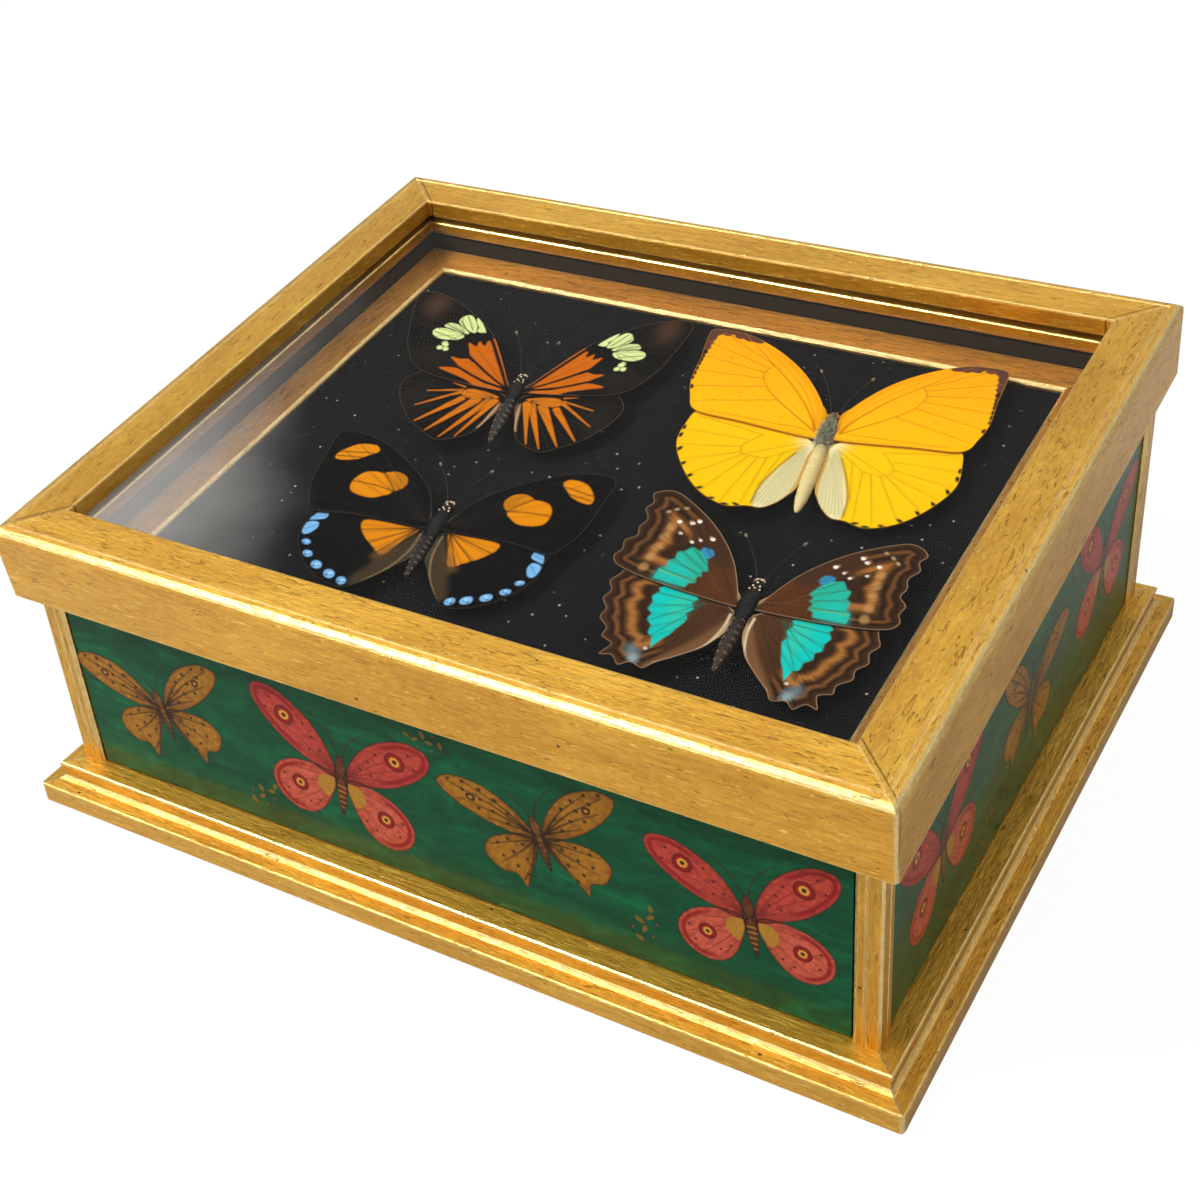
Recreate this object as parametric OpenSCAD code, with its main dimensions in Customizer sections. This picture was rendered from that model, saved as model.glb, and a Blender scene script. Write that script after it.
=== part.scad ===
// Butterfly display case with a sloping, hinged glass lid.
// Millimetres. Origin at the middle of the underside.
// X to the right, Y to the back, Z up. The lid opens at the back.

/* [Case] */
// Width of the case body
case_width = 208; // [205:1:211]
// Depth of the case body
case_depth = 170; // [168:1:172]
// Height of the rim at the front
front_height = 61; // [58:0.5:64]
// Slope of the rim and the lid, in degrees
lid_slope = 5; // [4.5:0.25:5.5]
// Side of the square corner posts
post_size = 6; // [5.8:0.1:6.4]
// How far the panels lie behind the posts
panel_recess = 1; // [0.8:0.1:1.3]
// Shadow line round each panel
shadow_gap = 0.5; // [0.3:0.1:0.7]
// Thickness of the lined walls inside
liner_thickness = 3.8; // [3.4:0.2:3.8]
// Height of the hinge rail across the back
hinge_rail_height = 10; // [9:0.5:12]

/* [Base] */
// Height of the base moulding
base_height = 10.4; // [10:0.2:11]
// How far the base stands out from the case
base_overhang = 8.6; // [8.2:0.2:9]
// Height of the lower band of the moulding
fascia_height = 5.4; // [5:0.2:5.8]
// Thickness of the bottom board
bottom_thickness = 4; // [3:0.5:4.5]

/* [Lid] */
// Height of the lid frame
lid_height = 19; // [18.5:0.5:20]
// How far the lid stands out at the front and the sides
lid_overhang = 4; // [3.6:0.1:4.2]
// Width of the lid frame seen from above
rail_width = 13; // [12.6:0.2:13.4]
// Depth of the lip over the glass
lip_height = 4.4; // [4:0.2:4.8]
// Reach of the lip over the glass
lip_reach = 4.3; // [4.2:0.1:4.6]
// Thickness of the glass
glass_thickness = 2; // [1.8:0.1:2.2]
// Height of the strips that hold the glass
stop_height = 4; // [3.6:0.2:4.2]

/* [Tray] */
// Height of the velvet over the rim plane
velvet_level = 2.4; // [2:0.1:2.6]
// Thickness of the velvet
velvet_thickness = 1; // [0.8:0.1:1.2]
// Thickness of the pinning foam
foam_thickness = 8; // [7:0.5:9]
// Thickness of the tray board
board_thickness = 3; // [3:0.5:4]
// Side of the ledger strips under the tray
ledger_size = 5; // [4:0.5:6]
// Width of the slips on the velvet
slip_width = 8; // [7.5:0.1:8.2]
// Height of the slips at the wall
slip_height = 2.6; // [2.4:0.1:2.8]

/* [Hinges] */
// Distance between the two hinges
hinge_spacing = 120; // [100:5:140]
// Width of a hinge
leaf_width = 14; // [13:0.5:16]
// Height of a hinge leaf
leaf_height = 9; // [8.6:0.1:9]
// Diameter of the hinge pin
pin_diameter = 1.4; // [1.2:0.1:1.6]
// Free space round the hinge pin
pin_clearance = 0.05; // [0.03:0.01:0.08]

/* [Butterflies] */
// Thickness of a wing
wing_thickness = 0.3; // [0.25:0.05:0.35]
// Rise of the wings, in degrees
wing_rise = 3.5; // [2.5:0.5:4]
// Roll of the mounted insects, left wings up, in degrees
wing_roll = 4.5; // [3:0.5:5]
// Height of the hindwings over the velvet
wing_level = 3.6; // [3.4:0.1:3.8]
// Height of the body axis over the velvet
body_level = 3.8; // [3.6:0.1:4]
// Thickness of the antennae
antenna_diameter = 0.3; // [0.26:0.02:0.36]
// Diameter of the mounting pins
mount_diameter = 0.8; // [0.6:0.1:0.9]
// Height of the mounting pins over the velvet
mount_height = 2.6; // [2.4:0.1:2.8]

/* [Fit] */
// Free space between the lid and the parts inside it
lid_clearance = 0.4; // [0.35:0.05:0.45]
// Free space between the lid and the rim
seat_gap = 0.2; // [0.15:0.05:0.3]
// Free space round boards and between wings
part_gap = 0.3; // [0.25:0.05:0.35]
// Free space round the glass
glass_gap = 0.4; // [0.3:0.1:0.5]

/* [Hidden] */
$fn = 32;
front = 0;
right = 1;
back = 2;
left = 3;
rise = tan(lid_slope);
rim_back = front_height + case_depth * rise;
lid_width = case_width + 2 * lid_overhang;
lid_depth = case_depth / cos(lid_slope) + lid_overhang;
rail_inner = rail_width - lip_reach;
lip_level = lid_height - lip_height;
glass_level = lip_level - glass_thickness;
stop_level = glass_level - stop_height;
liner_top = stop_level - lid_clearance;
liner_inset = rail_inner - lid_overhang + lid_clearance;
back_inset = rail_inner * cos(lid_slope) + liner_top * sin(lid_slope) + lid_clearance;
side_x = case_width / 2;
front_y = -case_depth / 2;
back_y = case_depth / 2;
in_x = side_x - liner_inset - liner_thickness;
in_front = front_y + liner_inset + liner_thickness;
in_back = back_y - back_inset - liner_thickness;
foam_top = velvet_level - velvet_thickness;
board_top = foam_top - foam_thickness;
ledger_top = board_top - board_thickness;
base_width = case_width + 2 * base_overhang;
base_depth = case_depth + 2 * base_overhang;
ledge_width = 4.6;
bottom_lap = 4;
bottom_inset = 11;
base_reach = base_overhang + bottom_inset + bottom_lap;
leaf_thickness = 1;
knuckle_radius = 1.6;
hinge_offset = 2;
knuckle_gap = 0.2;
knuckle_length = (leaf_width - 2 * knuckle_gap) / 3;
leaf_relief = knuckle_radius + 0.1;
thorax_diameter = 5.4;
root_x = thorax_diameter / 2 + part_gap;
hind_level = velvet_level + wing_level;
fore_level = hind_level + wing_thickness + part_gap;
axis_level = velvet_level + body_level;

gilt = [0.80, 0.62, 0.28];
gilt_dark = [0.66, 0.50, 0.24];
green = [0.05, 0.30, 0.19];
lining = [0.16, 0.16, 0.17];
slip = [0.72, 0.56, 0.30];
cloth = [0.04, 0.04, 0.05];
foam = [0.85, 0.84, 0.78];
card = [0.62, 0.50, 0.34];
glass_tint = [0.80, 0.88, 0.86, 0.35];
brass = [0.78, 0.62, 0.30];
steel = [0.70, 0.70, 0.72];
wing_orange = [0.80, 0.38, 0.10];
wing_yellow = [0.98, 0.78, 0.05];
wing_black = [0.12, 0.08, 0.05];
wing_teal = [0.10, 0.70, 0.65];
hide = [0.07, 0.06, 0.05];

// Field width and lid depth that the butterflies are drawn for
drawn_width = 190;
drawn_depth = 175;
insect_scale = min(2 * in_x / drawn_width, lid_depth / drawn_depth);

// A place in the lid plane, from the middle of the back edge
function spot(x, v) = [x * 2 * in_x / drawn_width, v * lid_depth / drawn_depth];

// Where each butterfly sits, and how far it is turned
back_left_at = spot(-33.7, -70.2);
back_left_turn = 13.5;
back_right_at = spot(44.8, -62.2);
back_right_turn = 10.5;
front_left_at = spot(-22.7, -123.5);
front_left_turn = 10;
front_right_at = spot(53.8, -122.6);
front_right_turn = 6;

// Wing outlines of the right side, from the root to the tip and round
back_left_fore = [
    [2.5, 1.5], [7.5, 12], [13.5, 22.5], [22.5, 31], [29, 35], [34.5, 36],
    [37, 33], [35.5, 23], [32.5, 11.5], [27.5, 3], [20, 0], [2.5, -1]
];
back_left_hind = [
    [14, 5], [22.5, 4.5], [28, -2], [27.5, -8.5], [22.5, -17],
    [17, -21.5], [12.5, -23.5], [5.5, -18.5], [2.5, -7], [2.5, -2]
];
back_right_fore = [
    [2.5, 2.5], [3, 11], [9.5, 22], [17.5, 29.5], [26, 34], [32, 34.5], [36, 33.5],
    [36.5, 30], [35.8, 21], [35.5, 12], [34, 5.5], [31, 0], [20, -0.5], [2.5, -1]
];
back_right_hind = [
    [14, 4], [24, 2.5], [30.5, 1], [32, -4], [32, -12.5], [28, -21], [22.5, -27.5],
    [16, -30.5], [11, -29], [7, -28], [3, -21], [2.5, -8], [2.5, -2]
];
front_left_fore = [
    [2.5, 2], [7, 12], [17.5, 21], [25.5, 25], [31.5, 25.5], [35, 23.5],
    [34.5, 15], [33.5, 5], [31, -1.5], [28.5, -4.5], [18.5, -2.5], [2.5, -1.5]
];
front_left_hind = [
    [14, 2], [24, -1], [28.5, -2], [28.5, -7], [28.5, -12.5], [24.5, -19.5],
    [19, -24], [12.5, -25.5], [8.5, -22], [3, -13], [2.5, -6], [2.5, -2]
];
front_right_fore = [
    [2.5, 1.5], [7.5, 12.5], [15, 21.5], [24, 27.7], [28, 28.5], [31, 26], [30, 23.2],
    [30.8, 20.5], [29.2, 17.5], [29.8, 14.2], [29.2, 11.5], [31, 9], [30.5, 6],
    [31.3, 3.5], [29, 0.8], [20, -0.7], [2.5, -1]
];
front_right_hind = [
    [14, 5], [26, 4.5], [27.5, 1.5], [28.3, -1], [29.3, -3.6], [28, -6.2], [28.6, -9.2],
    [26.8, -11.8], [27, -14.6], [24.6, -17], [24.5, -19.6], [21.9, -21], [23, -24.6],
    [20.5, -24], [18.4, -26], [16.4, -24.3], [13.5, -24.9], [11.7, -22.3],
    [8.5, -19], [4, -13.5], [2.5, -7.5], [2.5, -2]
];

// Height of the plane that lies w above the rim plane, at depth y
function plane_z(y, w) = rim_back + (y - back_y) * rise + w / cos(lid_slope);

// Place along the slope for depth y at height w
function slope_v(y, w) = (y - back_y + w * sin(lid_slope)) / cos(lid_slope);

// One point of a smooth curve through b and c
function curve(a, b, c, d, t) = 0.5 * (2 * b + (c - a) * t
    + (2 * a - 5 * b + 4 * c - d) * t * t
    + (3 * b - a - 3 * c + d) * t * t * t);

// A closed smooth outline through the points p, kept clear of the body
function outline(p, steps) = [
    for (i = [0 : len(p) - 1])
    for (k = [0 : steps - 1])
    let (n = len(p))
    let (q = curve(p[(i + n - 1) % n], p[i], p[(i + 1) % n], p[(i + 2) % n], k / steps))
    [max(q[0] * insect_scale, root_x), q[1] * insect_scale]
];

// Plan of a mitred length with rounded outer corners
function mitre_plan(long, reach, r) = concat(
    [for (a = [45 : 15 : 90]) [r - long / 2 - r * cos(a), r - r * sin(a)]],
    [for (a = [90 : -15 : 45]) [long / 2 - r + r * cos(a), r - r * sin(a)]],
    [[long / 2 - reach, reach], [reach - long / 2, reach]]
);

// One side of a mitred frame, with the section as child
module mitred(side, w, d, reach, r) {
    long = side % 2 == 0 ? w : d;
    away = side % 2 == 0 ? d / 2 : w / 2;
    rotate([0, 0, side * 90])
    translate([0, -away, 0])
    intersection() {
        translate([-long / 2, 0, 0]) rotate([90, 0, 90]) linear_extrude(long) children();
        translate([0, 0, -rim_back]) linear_extrude(2 * rim_back) polygon(mitre_plan(long, reach, r));
    }
}

// An upright wall whose top lies w above the rim plane
module wall(x0, x1, y0, y1, z0, w) {
    translate([x0, 0, 0])
    rotate([90, 0, 90])
    linear_extrude(x1 - x0)
    polygon([[y0, z0], [y1, z0], [y1, plane_z(y1, w)], [y0, plane_z(y0, w)]]);
}

// A sloping board between two heights over the rim plane
module board(x, y0, y1, w0, w1) {
    translate([-x, 0, 0])
    rotate([90, 0, 90])
    linear_extrude(2 * x)
    polygon([
        [y0, plane_z(y0, w0)], [y1, plane_z(y1, w0)],
        [y1, plane_z(y1, w1)], [y0, plane_z(y0, w1)]
    ]);
}

module in_lid() {
    translate([0, back_y, rim_back]) rotate([lid_slope, 0, 0]) children();
}

module base_section() {
    f = fascia_height;
    g = ledge_width;
    h = base_height;
    polygon([
        [0.4, 0], [0, 0.4], [0, f - 0.5], [0.15, f - 0.15], [0.5, f],
        [g - 1.2, f + 0.2], [g - 0.5, f + 0.5], [g - 0.1, f + 1], [g + 0.1, f + 1.8],
        [g + 0.1, h - 2.2], [g - 0.1, h - 1.5], [g - 0.4, h - 1.1], [g - 0.5, h - 0.7],
        [g - 0.35, h - 0.25], [g, h],
        [base_overhang + bottom_inset, h],
        [base_overhang + bottom_inset, h - bottom_thickness],
        [base_reach, h - bottom_thickness], [base_reach, 0]
    ]);
}

module base_side(side) {
    color(gilt_dark)
    mitred(side, base_width, base_depth, base_reach, 1.5)
    base_section();
}

module base_front() {
    base_side(front);
}

module base_back() {
    base_side(back);
}

module base_left() {
    base_side(left);
}

module base_right() {
    base_side(right);
}

module bottom_board() {
    w = case_width - 2 * bottom_inset - 2 * part_gap;
    d = case_depth - 2 * bottom_inset - 2 * part_gap;
    color(card)
    translate([-w / 2, -d / 2, base_height - bottom_thickness])
    cube([w, d, bottom_thickness]);
}

// A corner post, grooved on both faces and notched behind for the lining
module post(sx, sy) {
    s = post_size;
    n = liner_inset;
    plan = [
        [0.5, 0], [3.2, 0], [3.45, 0.3], [3.7, 0], [s - 0.8, 0], [s, 0.8], [s, n], [n, n],
        [n, s], [0.8, s], [0, s - 0.8], [0, 3.7], [0.3, 3.45], [0, 3.2], [0, 0.5]
    ];
    color(gilt)
    intersection() {
        translate([sx * side_x, sy * back_y, base_height])
        linear_extrude(rim_back)
        polygon([for (p = plan) [-sx * p[0], -sy * p[1]]]);
        wall(-side_x, side_x, front_y, back_y, 0, -seat_gap);
    }
}

module post_front_left() {
    post(-1, -1);
}

module post_front_right() {
    post(1, -1);
}

module post_back_left() {
    post(-1, 1);
}

module post_back_right() {
    post(1, 1);
}

module panel_front() {
    x = side_x - post_size - shadow_gap;
    color(green)
    wall(-x, x, front_y + panel_recess, front_y + liner_inset, base_height + shadow_gap, -seat_gap);
}

module panel_side(sx) {
    x0 = side_x - liner_inset;
    x1 = side_x - panel_recess;
    y = back_y - post_size - shadow_gap;
    color(green)
    wall(sx > 0 ? x0 : -x1, sx > 0 ? x1 : -x0, -y, y, base_height + shadow_gap, -seat_gap);
}

module panel_left() {
    panel_side(-1);
}

module panel_right() {
    panel_side(1);
}

module panel_back() {
    x = side_x - post_size - shadow_gap;
    z0 = base_height + shadow_gap;
    z1 = rim_back - hinge_rail_height - shadow_gap;
    color(green)
    translate([-x, back_y - back_inset, z0])
    cube([2 * x, back_inset - panel_recess, z1 - z0]);
}

module hinge_rail() {
    x = side_x - post_size;
    color(gilt)
    wall(-x, x, back_y - back_inset, back_y, rim_back - hinge_rail_height, -seat_gap);
}

module liner_front() {
    x = side_x - liner_inset;
    color(lining)
    wall(-x, x, front_y + liner_inset, in_front, base_height, liner_top);
}

module liner_back() {
    x = side_x - liner_inset;
    color(lining)
    wall(-x, x, in_back, back_y - back_inset, base_height, liner_top);
}

module liner_left() {
    color(lining)
    wall(liner_inset - side_x, -in_x, in_front, in_back, base_height, liner_top);
}

module liner_right() {
    color(lining)
    wall(in_x, side_x - liner_inset, in_front, in_back, base_height, liner_top);
}

module ledgers() {
    color(card)
    difference() {
        board(in_x, in_front, in_back, ledger_top - ledger_size, ledger_top);
        board(in_x - ledger_size, in_front + ledger_size, in_back - ledger_size,
            ledger_top - ledger_size - 1, ledger_top + 1);
    }
}

module tray_board() {
    color(card)
    board(in_x - part_gap, in_front + part_gap, in_back - part_gap, ledger_top, board_top);
}

module pinning_foam() {
    color(foam)
    board(in_x - part_gap, in_front + part_gap, in_back - part_gap, board_top, foam_top);
}

module velvet() {
    color(cloth)
    board(in_x - part_gap, in_front + part_gap, in_back - part_gap, foam_top, velvet_level);
}

module slip_section() {
    h = slip_height;
    w = slip_width;
    polygon([
        [0, 0], [0, h - 0.4], [0.15, h - 0.1], [0.5, h],
        [w - 0.9, 1.3], [w - 0.2, 0.9], [w, 0.6], [w, 0]
    ]);
}

// A slip beside the lining, lying on the velvet
module slip_side(side) {
    v0 = slope_v(in_front + 0.2, velvet_level + slip_height);
    v1 = slope_v(in_back - 0.2, velvet_level);
    color(slip)
    in_lid()
    translate([0, (v0 + v1) / 2, velvet_level])
    mitred(side, 2 * in_x - 0.4, v1 - v0, slip_width, 0.1)
    slip_section();
}

module slip_front() {
    slip_side(front);
}

module slip_back() {
    slip_side(back);
}

module slip_left() {
    slip_side(left);
}

module slip_right() {
    slip_side(right);
}

module lid_section() {
    h = lid_height;
    w = rail_width;
    r = 2.4;
    polygon(concat(
        [[0, 0]],
        [for (a = [0 : 15 : 90]) [r - r * cos(a), h - r + r * sin(a)]],
        [[r + 0.3, h], [r + 0.5, h - 0.3], [r + 0.8, h - 0.3], [r + 1, h]],
        [[w - 0.5, h], [w - 0.15, h - 0.15], [w, h - 0.5]],
        [[w, lip_level], [rail_inner, lip_level], [rail_inner, 0]]
    ));
}

module lid_side(side) {
    color(gilt)
    in_lid()
    translate([0, -lid_depth / 2, 0])
    mitred(side, lid_width, lid_depth, rail_width, 1.2)
    lid_section();
}

module lid_front() {
    lid_side(front);
}

module lid_back() {
    lid_side(back);
}

module lid_left() {
    lid_side(left);
}

module lid_right() {
    lid_side(right);
}

module glass() {
    m = rail_inner + glass_gap;
    color(glass_tint)
    in_lid()
    translate([m - lid_width / 2, m - lid_depth, glass_level])
    cube([lid_width - 2 * m, lid_depth - 2 * m, glass_thickness]);
}

module stop_section() {
    h = stop_height;
    w = lip_reach;
    polygon([
        [0, 0], [0, h], [w - 0.3, h], [w, h - 0.3], [w, 1.2],
        [w - 0.2, 0.6], [w - 0.6, 0.2], [w - 1.2, 0]
    ]);
}

// A strip that holds the glass from below
module stop_side(side) {
    color(gilt)
    in_lid()
    translate([0, -lid_depth / 2, stop_level])
    mitred(side, lid_width - 2 * rail_inner, lid_depth - 2 * rail_inner, lip_reach, 0.1)
    stop_section();
}

module stop_front() {
    stop_side(front);
}

module stop_back() {
    stop_side(back);
}

module stop_left() {
    stop_side(left);
}

module stop_right() {
    stop_side(right);
}

// A rod of radius r along X
module rod(r, x0, x1) {
    translate([x0, 0, 0]) rotate([0, 90, 0]) cylinder(r = r, h = x1 - x0);
}

// A countersunk hole or screw along -Y from the face of a leaf at the origin
module countersunk(grow, long) {
    rotate([-90, 0, 0])
    rotate_extrude()
    polygon([
        [0, 0.1], [1.5 + grow, 0.1], [1.5 + grow, 0], [0.7 + grow, -0.8],
        [0.7 + grow, -long + 1], [0.4 + grow, -long], [0, -long]
    ]);
}

module lower_leaf(x) {
    k = knuckle_length;
    w = leaf_width;
    y = leaf_thickness - hinge_offset;
    color(brass)
    translate([x, back_y + hinge_offset, rim_back])
    difference() {
        union() {
            translate([-w / 2, -hinge_offset, -leaf_height])
            cube([w, leaf_thickness, leaf_height - leaf_relief]);
            for (x0 = [-w / 2, w / 2 - k]) {
                translate([x0, -hinge_offset, -leaf_relief - 0.5])
                cube([k, leaf_thickness, leaf_relief + 0.2]);
                rod(knuckle_radius, x0, x0 + k);
            }
        }
        rod(pin_diameter / 2 + pin_clearance, -w, w);
        for (sx = [-1, 1])
        translate([sx * w * 0.28, y, -leaf_height + 3])
        countersunk(0.05, 3);
    }
}

module upper_leaf(x) {
    k = knuckle_length;
    w = leaf_width;
    yc = hinge_offset * cos(lid_slope);
    zc = -hinge_offset * sin(lid_slope);
    z0 = zc + leaf_relief;
    color(brass)
    in_lid()
    translate([x, 0, 0])
    difference() {
        union() {
            translate([-w / 2, 0, z0]) cube([w, leaf_thickness, leaf_height - z0]);
            translate([-k / 2, 0, zc + 0.3]) cube([k, leaf_thickness, leaf_relief]);
            translate([0, yc, zc]) rod(knuckle_radius, -k / 2, k / 2);
        }
        translate([0, yc, zc]) rod(pin_diameter / 2 + pin_clearance, -w, w);
        for (sx = [-1, 1])
        translate([sx * w * 0.28, leaf_thickness, leaf_height - 3])
        countersunk(0.05, 3);
    }
}

// A hinge pin with a small head at each end
module hinge_pin(x) {
    w = leaf_width;
    color(brass)
    translate([x, back_y + hinge_offset, rim_back])
    union() {
        rod(pin_diameter / 2, -w / 2 - 0.5, w / 2 + 0.5);
        rod(1.1, -w / 2 - 0.6, -w / 2);
        rod(1.1, w / 2, w / 2 + 0.6);
    }
}

module hinge_left_lower() {
    lower_leaf(-hinge_spacing / 2);
}

module hinge_left_upper() {
    upper_leaf(-hinge_spacing / 2);
}

module hinge_left_pin() {
    hinge_pin(-hinge_spacing / 2);
}

module hinge_right_lower() {
    lower_leaf(hinge_spacing / 2);
}

module hinge_right_upper() {
    upper_leaf(hinge_spacing / 2);
}

module hinge_right_pin() {
    hinge_pin(hinge_spacing / 2);
}

// A slotted countersunk screw whose head lies flush with the leaf
module screw() {
    difference() {
        intersection() {
            countersunk(0, 6);
            translate([-2, -8, -2]) cube([4, 8, 4]);
        }
        translate([-2, -0.3, -0.2]) cube([4, 1, 0.4]);
    }
}

module case_screws() {
    color(brass)
    for (sx = [-1, 1])
    for (dx = [-1, 1])
    translate([sx * hinge_spacing / 2 + dx * leaf_width * 0.28,
        back_y + leaf_thickness, rim_back - leaf_height + 3])
    screw();
}

module lid_screws() {
    color(brass)
    in_lid()
    for (sx = [-1, 1])
    for (dx = [-1, 1])
    translate([sx * hinge_spacing / 2 + dx * leaf_width * 0.28,
        leaf_thickness, leaf_height - 3])
    screw();
}

module at(pos, turn) {
    in_lid() translate([pos[0], pos[1], 0]) rotate([0, 0, turn]) children();
}

// A pair of wings from the outline of the right one and the level of the roots
module wings(points, level) {
    for (side = [0, 1])
    translate([side == 0 ? root_x : -root_x, 0, level])
    mirror([side, 0, 0])
    rotate([0, side == 0 ? wing_roll - wing_rise : -wing_roll - wing_rise, 0])
    translate([-root_x, 0, 0])
    linear_extrude(wing_thickness)
    polygon(outline(points, 4));
}

// A body turned about its own axis: head at the front, tail at the back
module insect(head, tail_end, belly) {
    t = thorax_diameter / 2;
    neck = head * insect_scale - 2.2;
    tail = tail_end * insect_scale;
    waist = -4;
    color(hide)
    translate([0, 0, axis_level])
    rotate([-90, 0, 0])
    rotate_extrude()
    polygon([
        [0, tail], [0.5, tail + 0.3], [belly * 0.28, tail + 2.2], [belly * 0.4, tail + 5],
        [belly / 2, (tail + waist) / 2], [belly * 0.46, waist - 2.2], [belly * 0.4, waist],
        [t * 0.86, waist + 1.6], [t * 0.98, waist + 3], [t, 0], [t * 0.94, neck - 2],
        [t * 0.74, neck - 0.8], [1, neck], [1.45, neck + 0.7], [1.7, neck + 1.7],
        [1.5, neck + 2.6], [0.9, neck + 3.2], [0, neck + 3.4]
    ]);
}

// A pair of antennae from the head to the tips, each with a club
module antennae(head, tip_left, tip_right) {
    color(hide)
    for (tip = [tip_left, tip_right]) {
        from = [0.8 * sign(tip[0]), head * insect_scale + 1.6];
        d = tip * insect_scale - from;
        long = norm(d);
        r = antenna_diameter / 2;
        translate([from[0], from[1], axis_level + 0.5])
        rotate([0, 0, atan2(d[1], d[0])])
        rotate([0, 90 - 4, 0])
        rotate_extrude($fn = 16)
        polygon([
            [0, 0], [r * 1.2, 0], [r * 0.8, long * 0.5], [r, long - 4],
            [0.42, long - 1.6], [0.45, long - 0.8], [0.3, long - 0.2], [0, long]
        ]);
    }
}

module back_left_body() {
    at(back_left_at, back_left_turn) insect(5.5, -21.5, 4.4);
}

module back_left_forewings() {
    color(wing_orange) at(back_left_at, back_left_turn) wings(back_left_fore, fore_level);
}

module back_left_hindwings() {
    color(wing_orange) at(back_left_at, back_left_turn) wings(back_left_hind, hind_level);
}

module back_left_antennae() {
    at(back_left_at, back_left_turn) antennae(5.5, [-7.5, 24.5], [5.5, 21]);
}

module back_right_body() {
    at(back_right_at, back_right_turn) insect(8.5, -28, 4.6);
}

module back_right_forewings() {
    color(wing_yellow) at(back_right_at, back_right_turn) wings(back_right_fore, fore_level);
}

module back_right_hindwings() {
    color(wing_yellow) at(back_right_at, back_right_turn) wings(back_right_hind, hind_level);
}

module back_right_antennae() {
    at(back_right_at, back_right_turn) antennae(8.5, [-7, 25.5], [6.5, 24]);
}

module front_left_body() {
    at(front_left_at, front_left_turn) insect(7.5, -18, 4.2);
}

module front_left_forewings() {
    color(wing_black) at(front_left_at, front_left_turn) wings(front_left_fore, fore_level);
}

module front_left_hindwings() {
    color(wing_black) at(front_left_at, front_left_turn) wings(front_left_hind, hind_level);
}

module front_left_antennae() {
    at(front_left_at, front_left_turn) antennae(7.5, [-8, 21.5], [6, 21]);
}

module front_right_body() {
    at(front_right_at, front_right_turn) insect(7.5, -20.5, 4.4);
}

module front_right_forewings() {
    color(wing_teal) at(front_right_at, front_right_turn) wings(front_right_fore, fore_level);
}

module front_right_hindwings() {
    color(wing_teal) at(front_right_at, front_right_turn) wings(front_right_hind, hind_level);
}

module front_right_antennae() {
    at(front_right_at, front_right_turn) antennae(7.5, [-8, 21.5], [6, 22]);
}

module mounting_pins() {
    z0 = board_top + 1;
    color(steel)
    for (pos = [back_left_at, back_right_at, front_left_at, front_right_at])
    at(pos, 0)
    translate([0, 0, z0])
    cylinder(d = mount_diameter, h = velvet_level + mount_height - z0);
}

base_front();
base_back();
base_left();
base_right();
bottom_board();
post_front_left();
post_front_right();
post_back_left();
post_back_right();
panel_front();
panel_back();
panel_left();
panel_right();
hinge_rail();
liner_front();
liner_back();
liner_left();
liner_right();
ledgers();
tray_board();
pinning_foam();
velvet();
slip_front();
slip_back();
slip_left();
slip_right();
lid_front();
lid_back();
lid_left();
lid_right();
glass();
stop_front();
stop_back();
stop_left();
stop_right();
hinge_left_lower();
hinge_left_upper();
hinge_left_pin();
hinge_right_lower();
hinge_right_upper();
hinge_right_pin();
case_screws();
lid_screws();
back_left_body();
back_left_forewings();
back_left_hindwings();
back_left_antennae();
back_right_body();
back_right_forewings();
back_right_hindwings();
back_right_antennae();
front_left_body();
front_left_forewings();
front_left_hindwings();
front_left_antennae();
front_right_body();
front_right_forewings();
front_right_hindwings();
front_right_antennae();
mounting_pins();
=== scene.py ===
"""A gilded butterfly display case with green lacquered panels, dressed round its CAD frame.

Lengths in the helpers are millimetres, and are turned to metres where meshes are made.
"""

import math

import bpy
import numpy as np
from mathutils import Matrix, Vector, geometry


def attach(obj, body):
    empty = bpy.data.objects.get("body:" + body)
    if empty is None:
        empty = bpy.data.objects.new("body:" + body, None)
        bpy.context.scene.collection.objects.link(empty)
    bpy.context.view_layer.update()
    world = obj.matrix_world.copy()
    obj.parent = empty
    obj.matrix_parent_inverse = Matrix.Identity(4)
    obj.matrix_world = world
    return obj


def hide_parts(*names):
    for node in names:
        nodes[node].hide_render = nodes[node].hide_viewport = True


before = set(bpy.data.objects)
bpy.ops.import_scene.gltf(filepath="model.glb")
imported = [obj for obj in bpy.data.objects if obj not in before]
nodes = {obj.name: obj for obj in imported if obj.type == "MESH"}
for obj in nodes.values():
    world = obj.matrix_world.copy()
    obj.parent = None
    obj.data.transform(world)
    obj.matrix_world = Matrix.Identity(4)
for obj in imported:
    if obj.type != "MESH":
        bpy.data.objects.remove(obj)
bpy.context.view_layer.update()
rng = np.random.default_rng(7)

MM = 0.001
SLOPE = math.radians(5)
CASE_W, CASE_D, RIM_FRONT = 208.0, 170.0, 61.0
RIM_BACK = RIM_FRONT + CASE_D * math.tan(SLOPE)
LID_W, LID_D = 216.0, CASE_D / math.cos(SLOPE) + 4.0
BASE_W, BASE_D = 225.2, 187.2
PANEL_IN = 1.0  # how far the panels stand back from the posts

# Wings: where they turn up from the body, by how many degrees, and their levels over the rim's plane
ROOT_X, ROLL, RISE = 3.0, 4.5, 3.5
HIND_LEVEL, FORE_LEVEL, AXIS_LEVEL = 6.0, 6.6, 6.2
WING_T = 0.3
INSECT_SCALE = 174.652 / 175  # the lid's depth against the one that the insects were drawn at
TRAY_FIT = np.array([190.2 / 190, INSECT_SCALE])  # the same for their places

WING_STEP, MOTIF_STEP, LEAF_STEP = 0.27, 0.26, 0.8
HAIRS = 900


# Colour and node helpers


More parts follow.
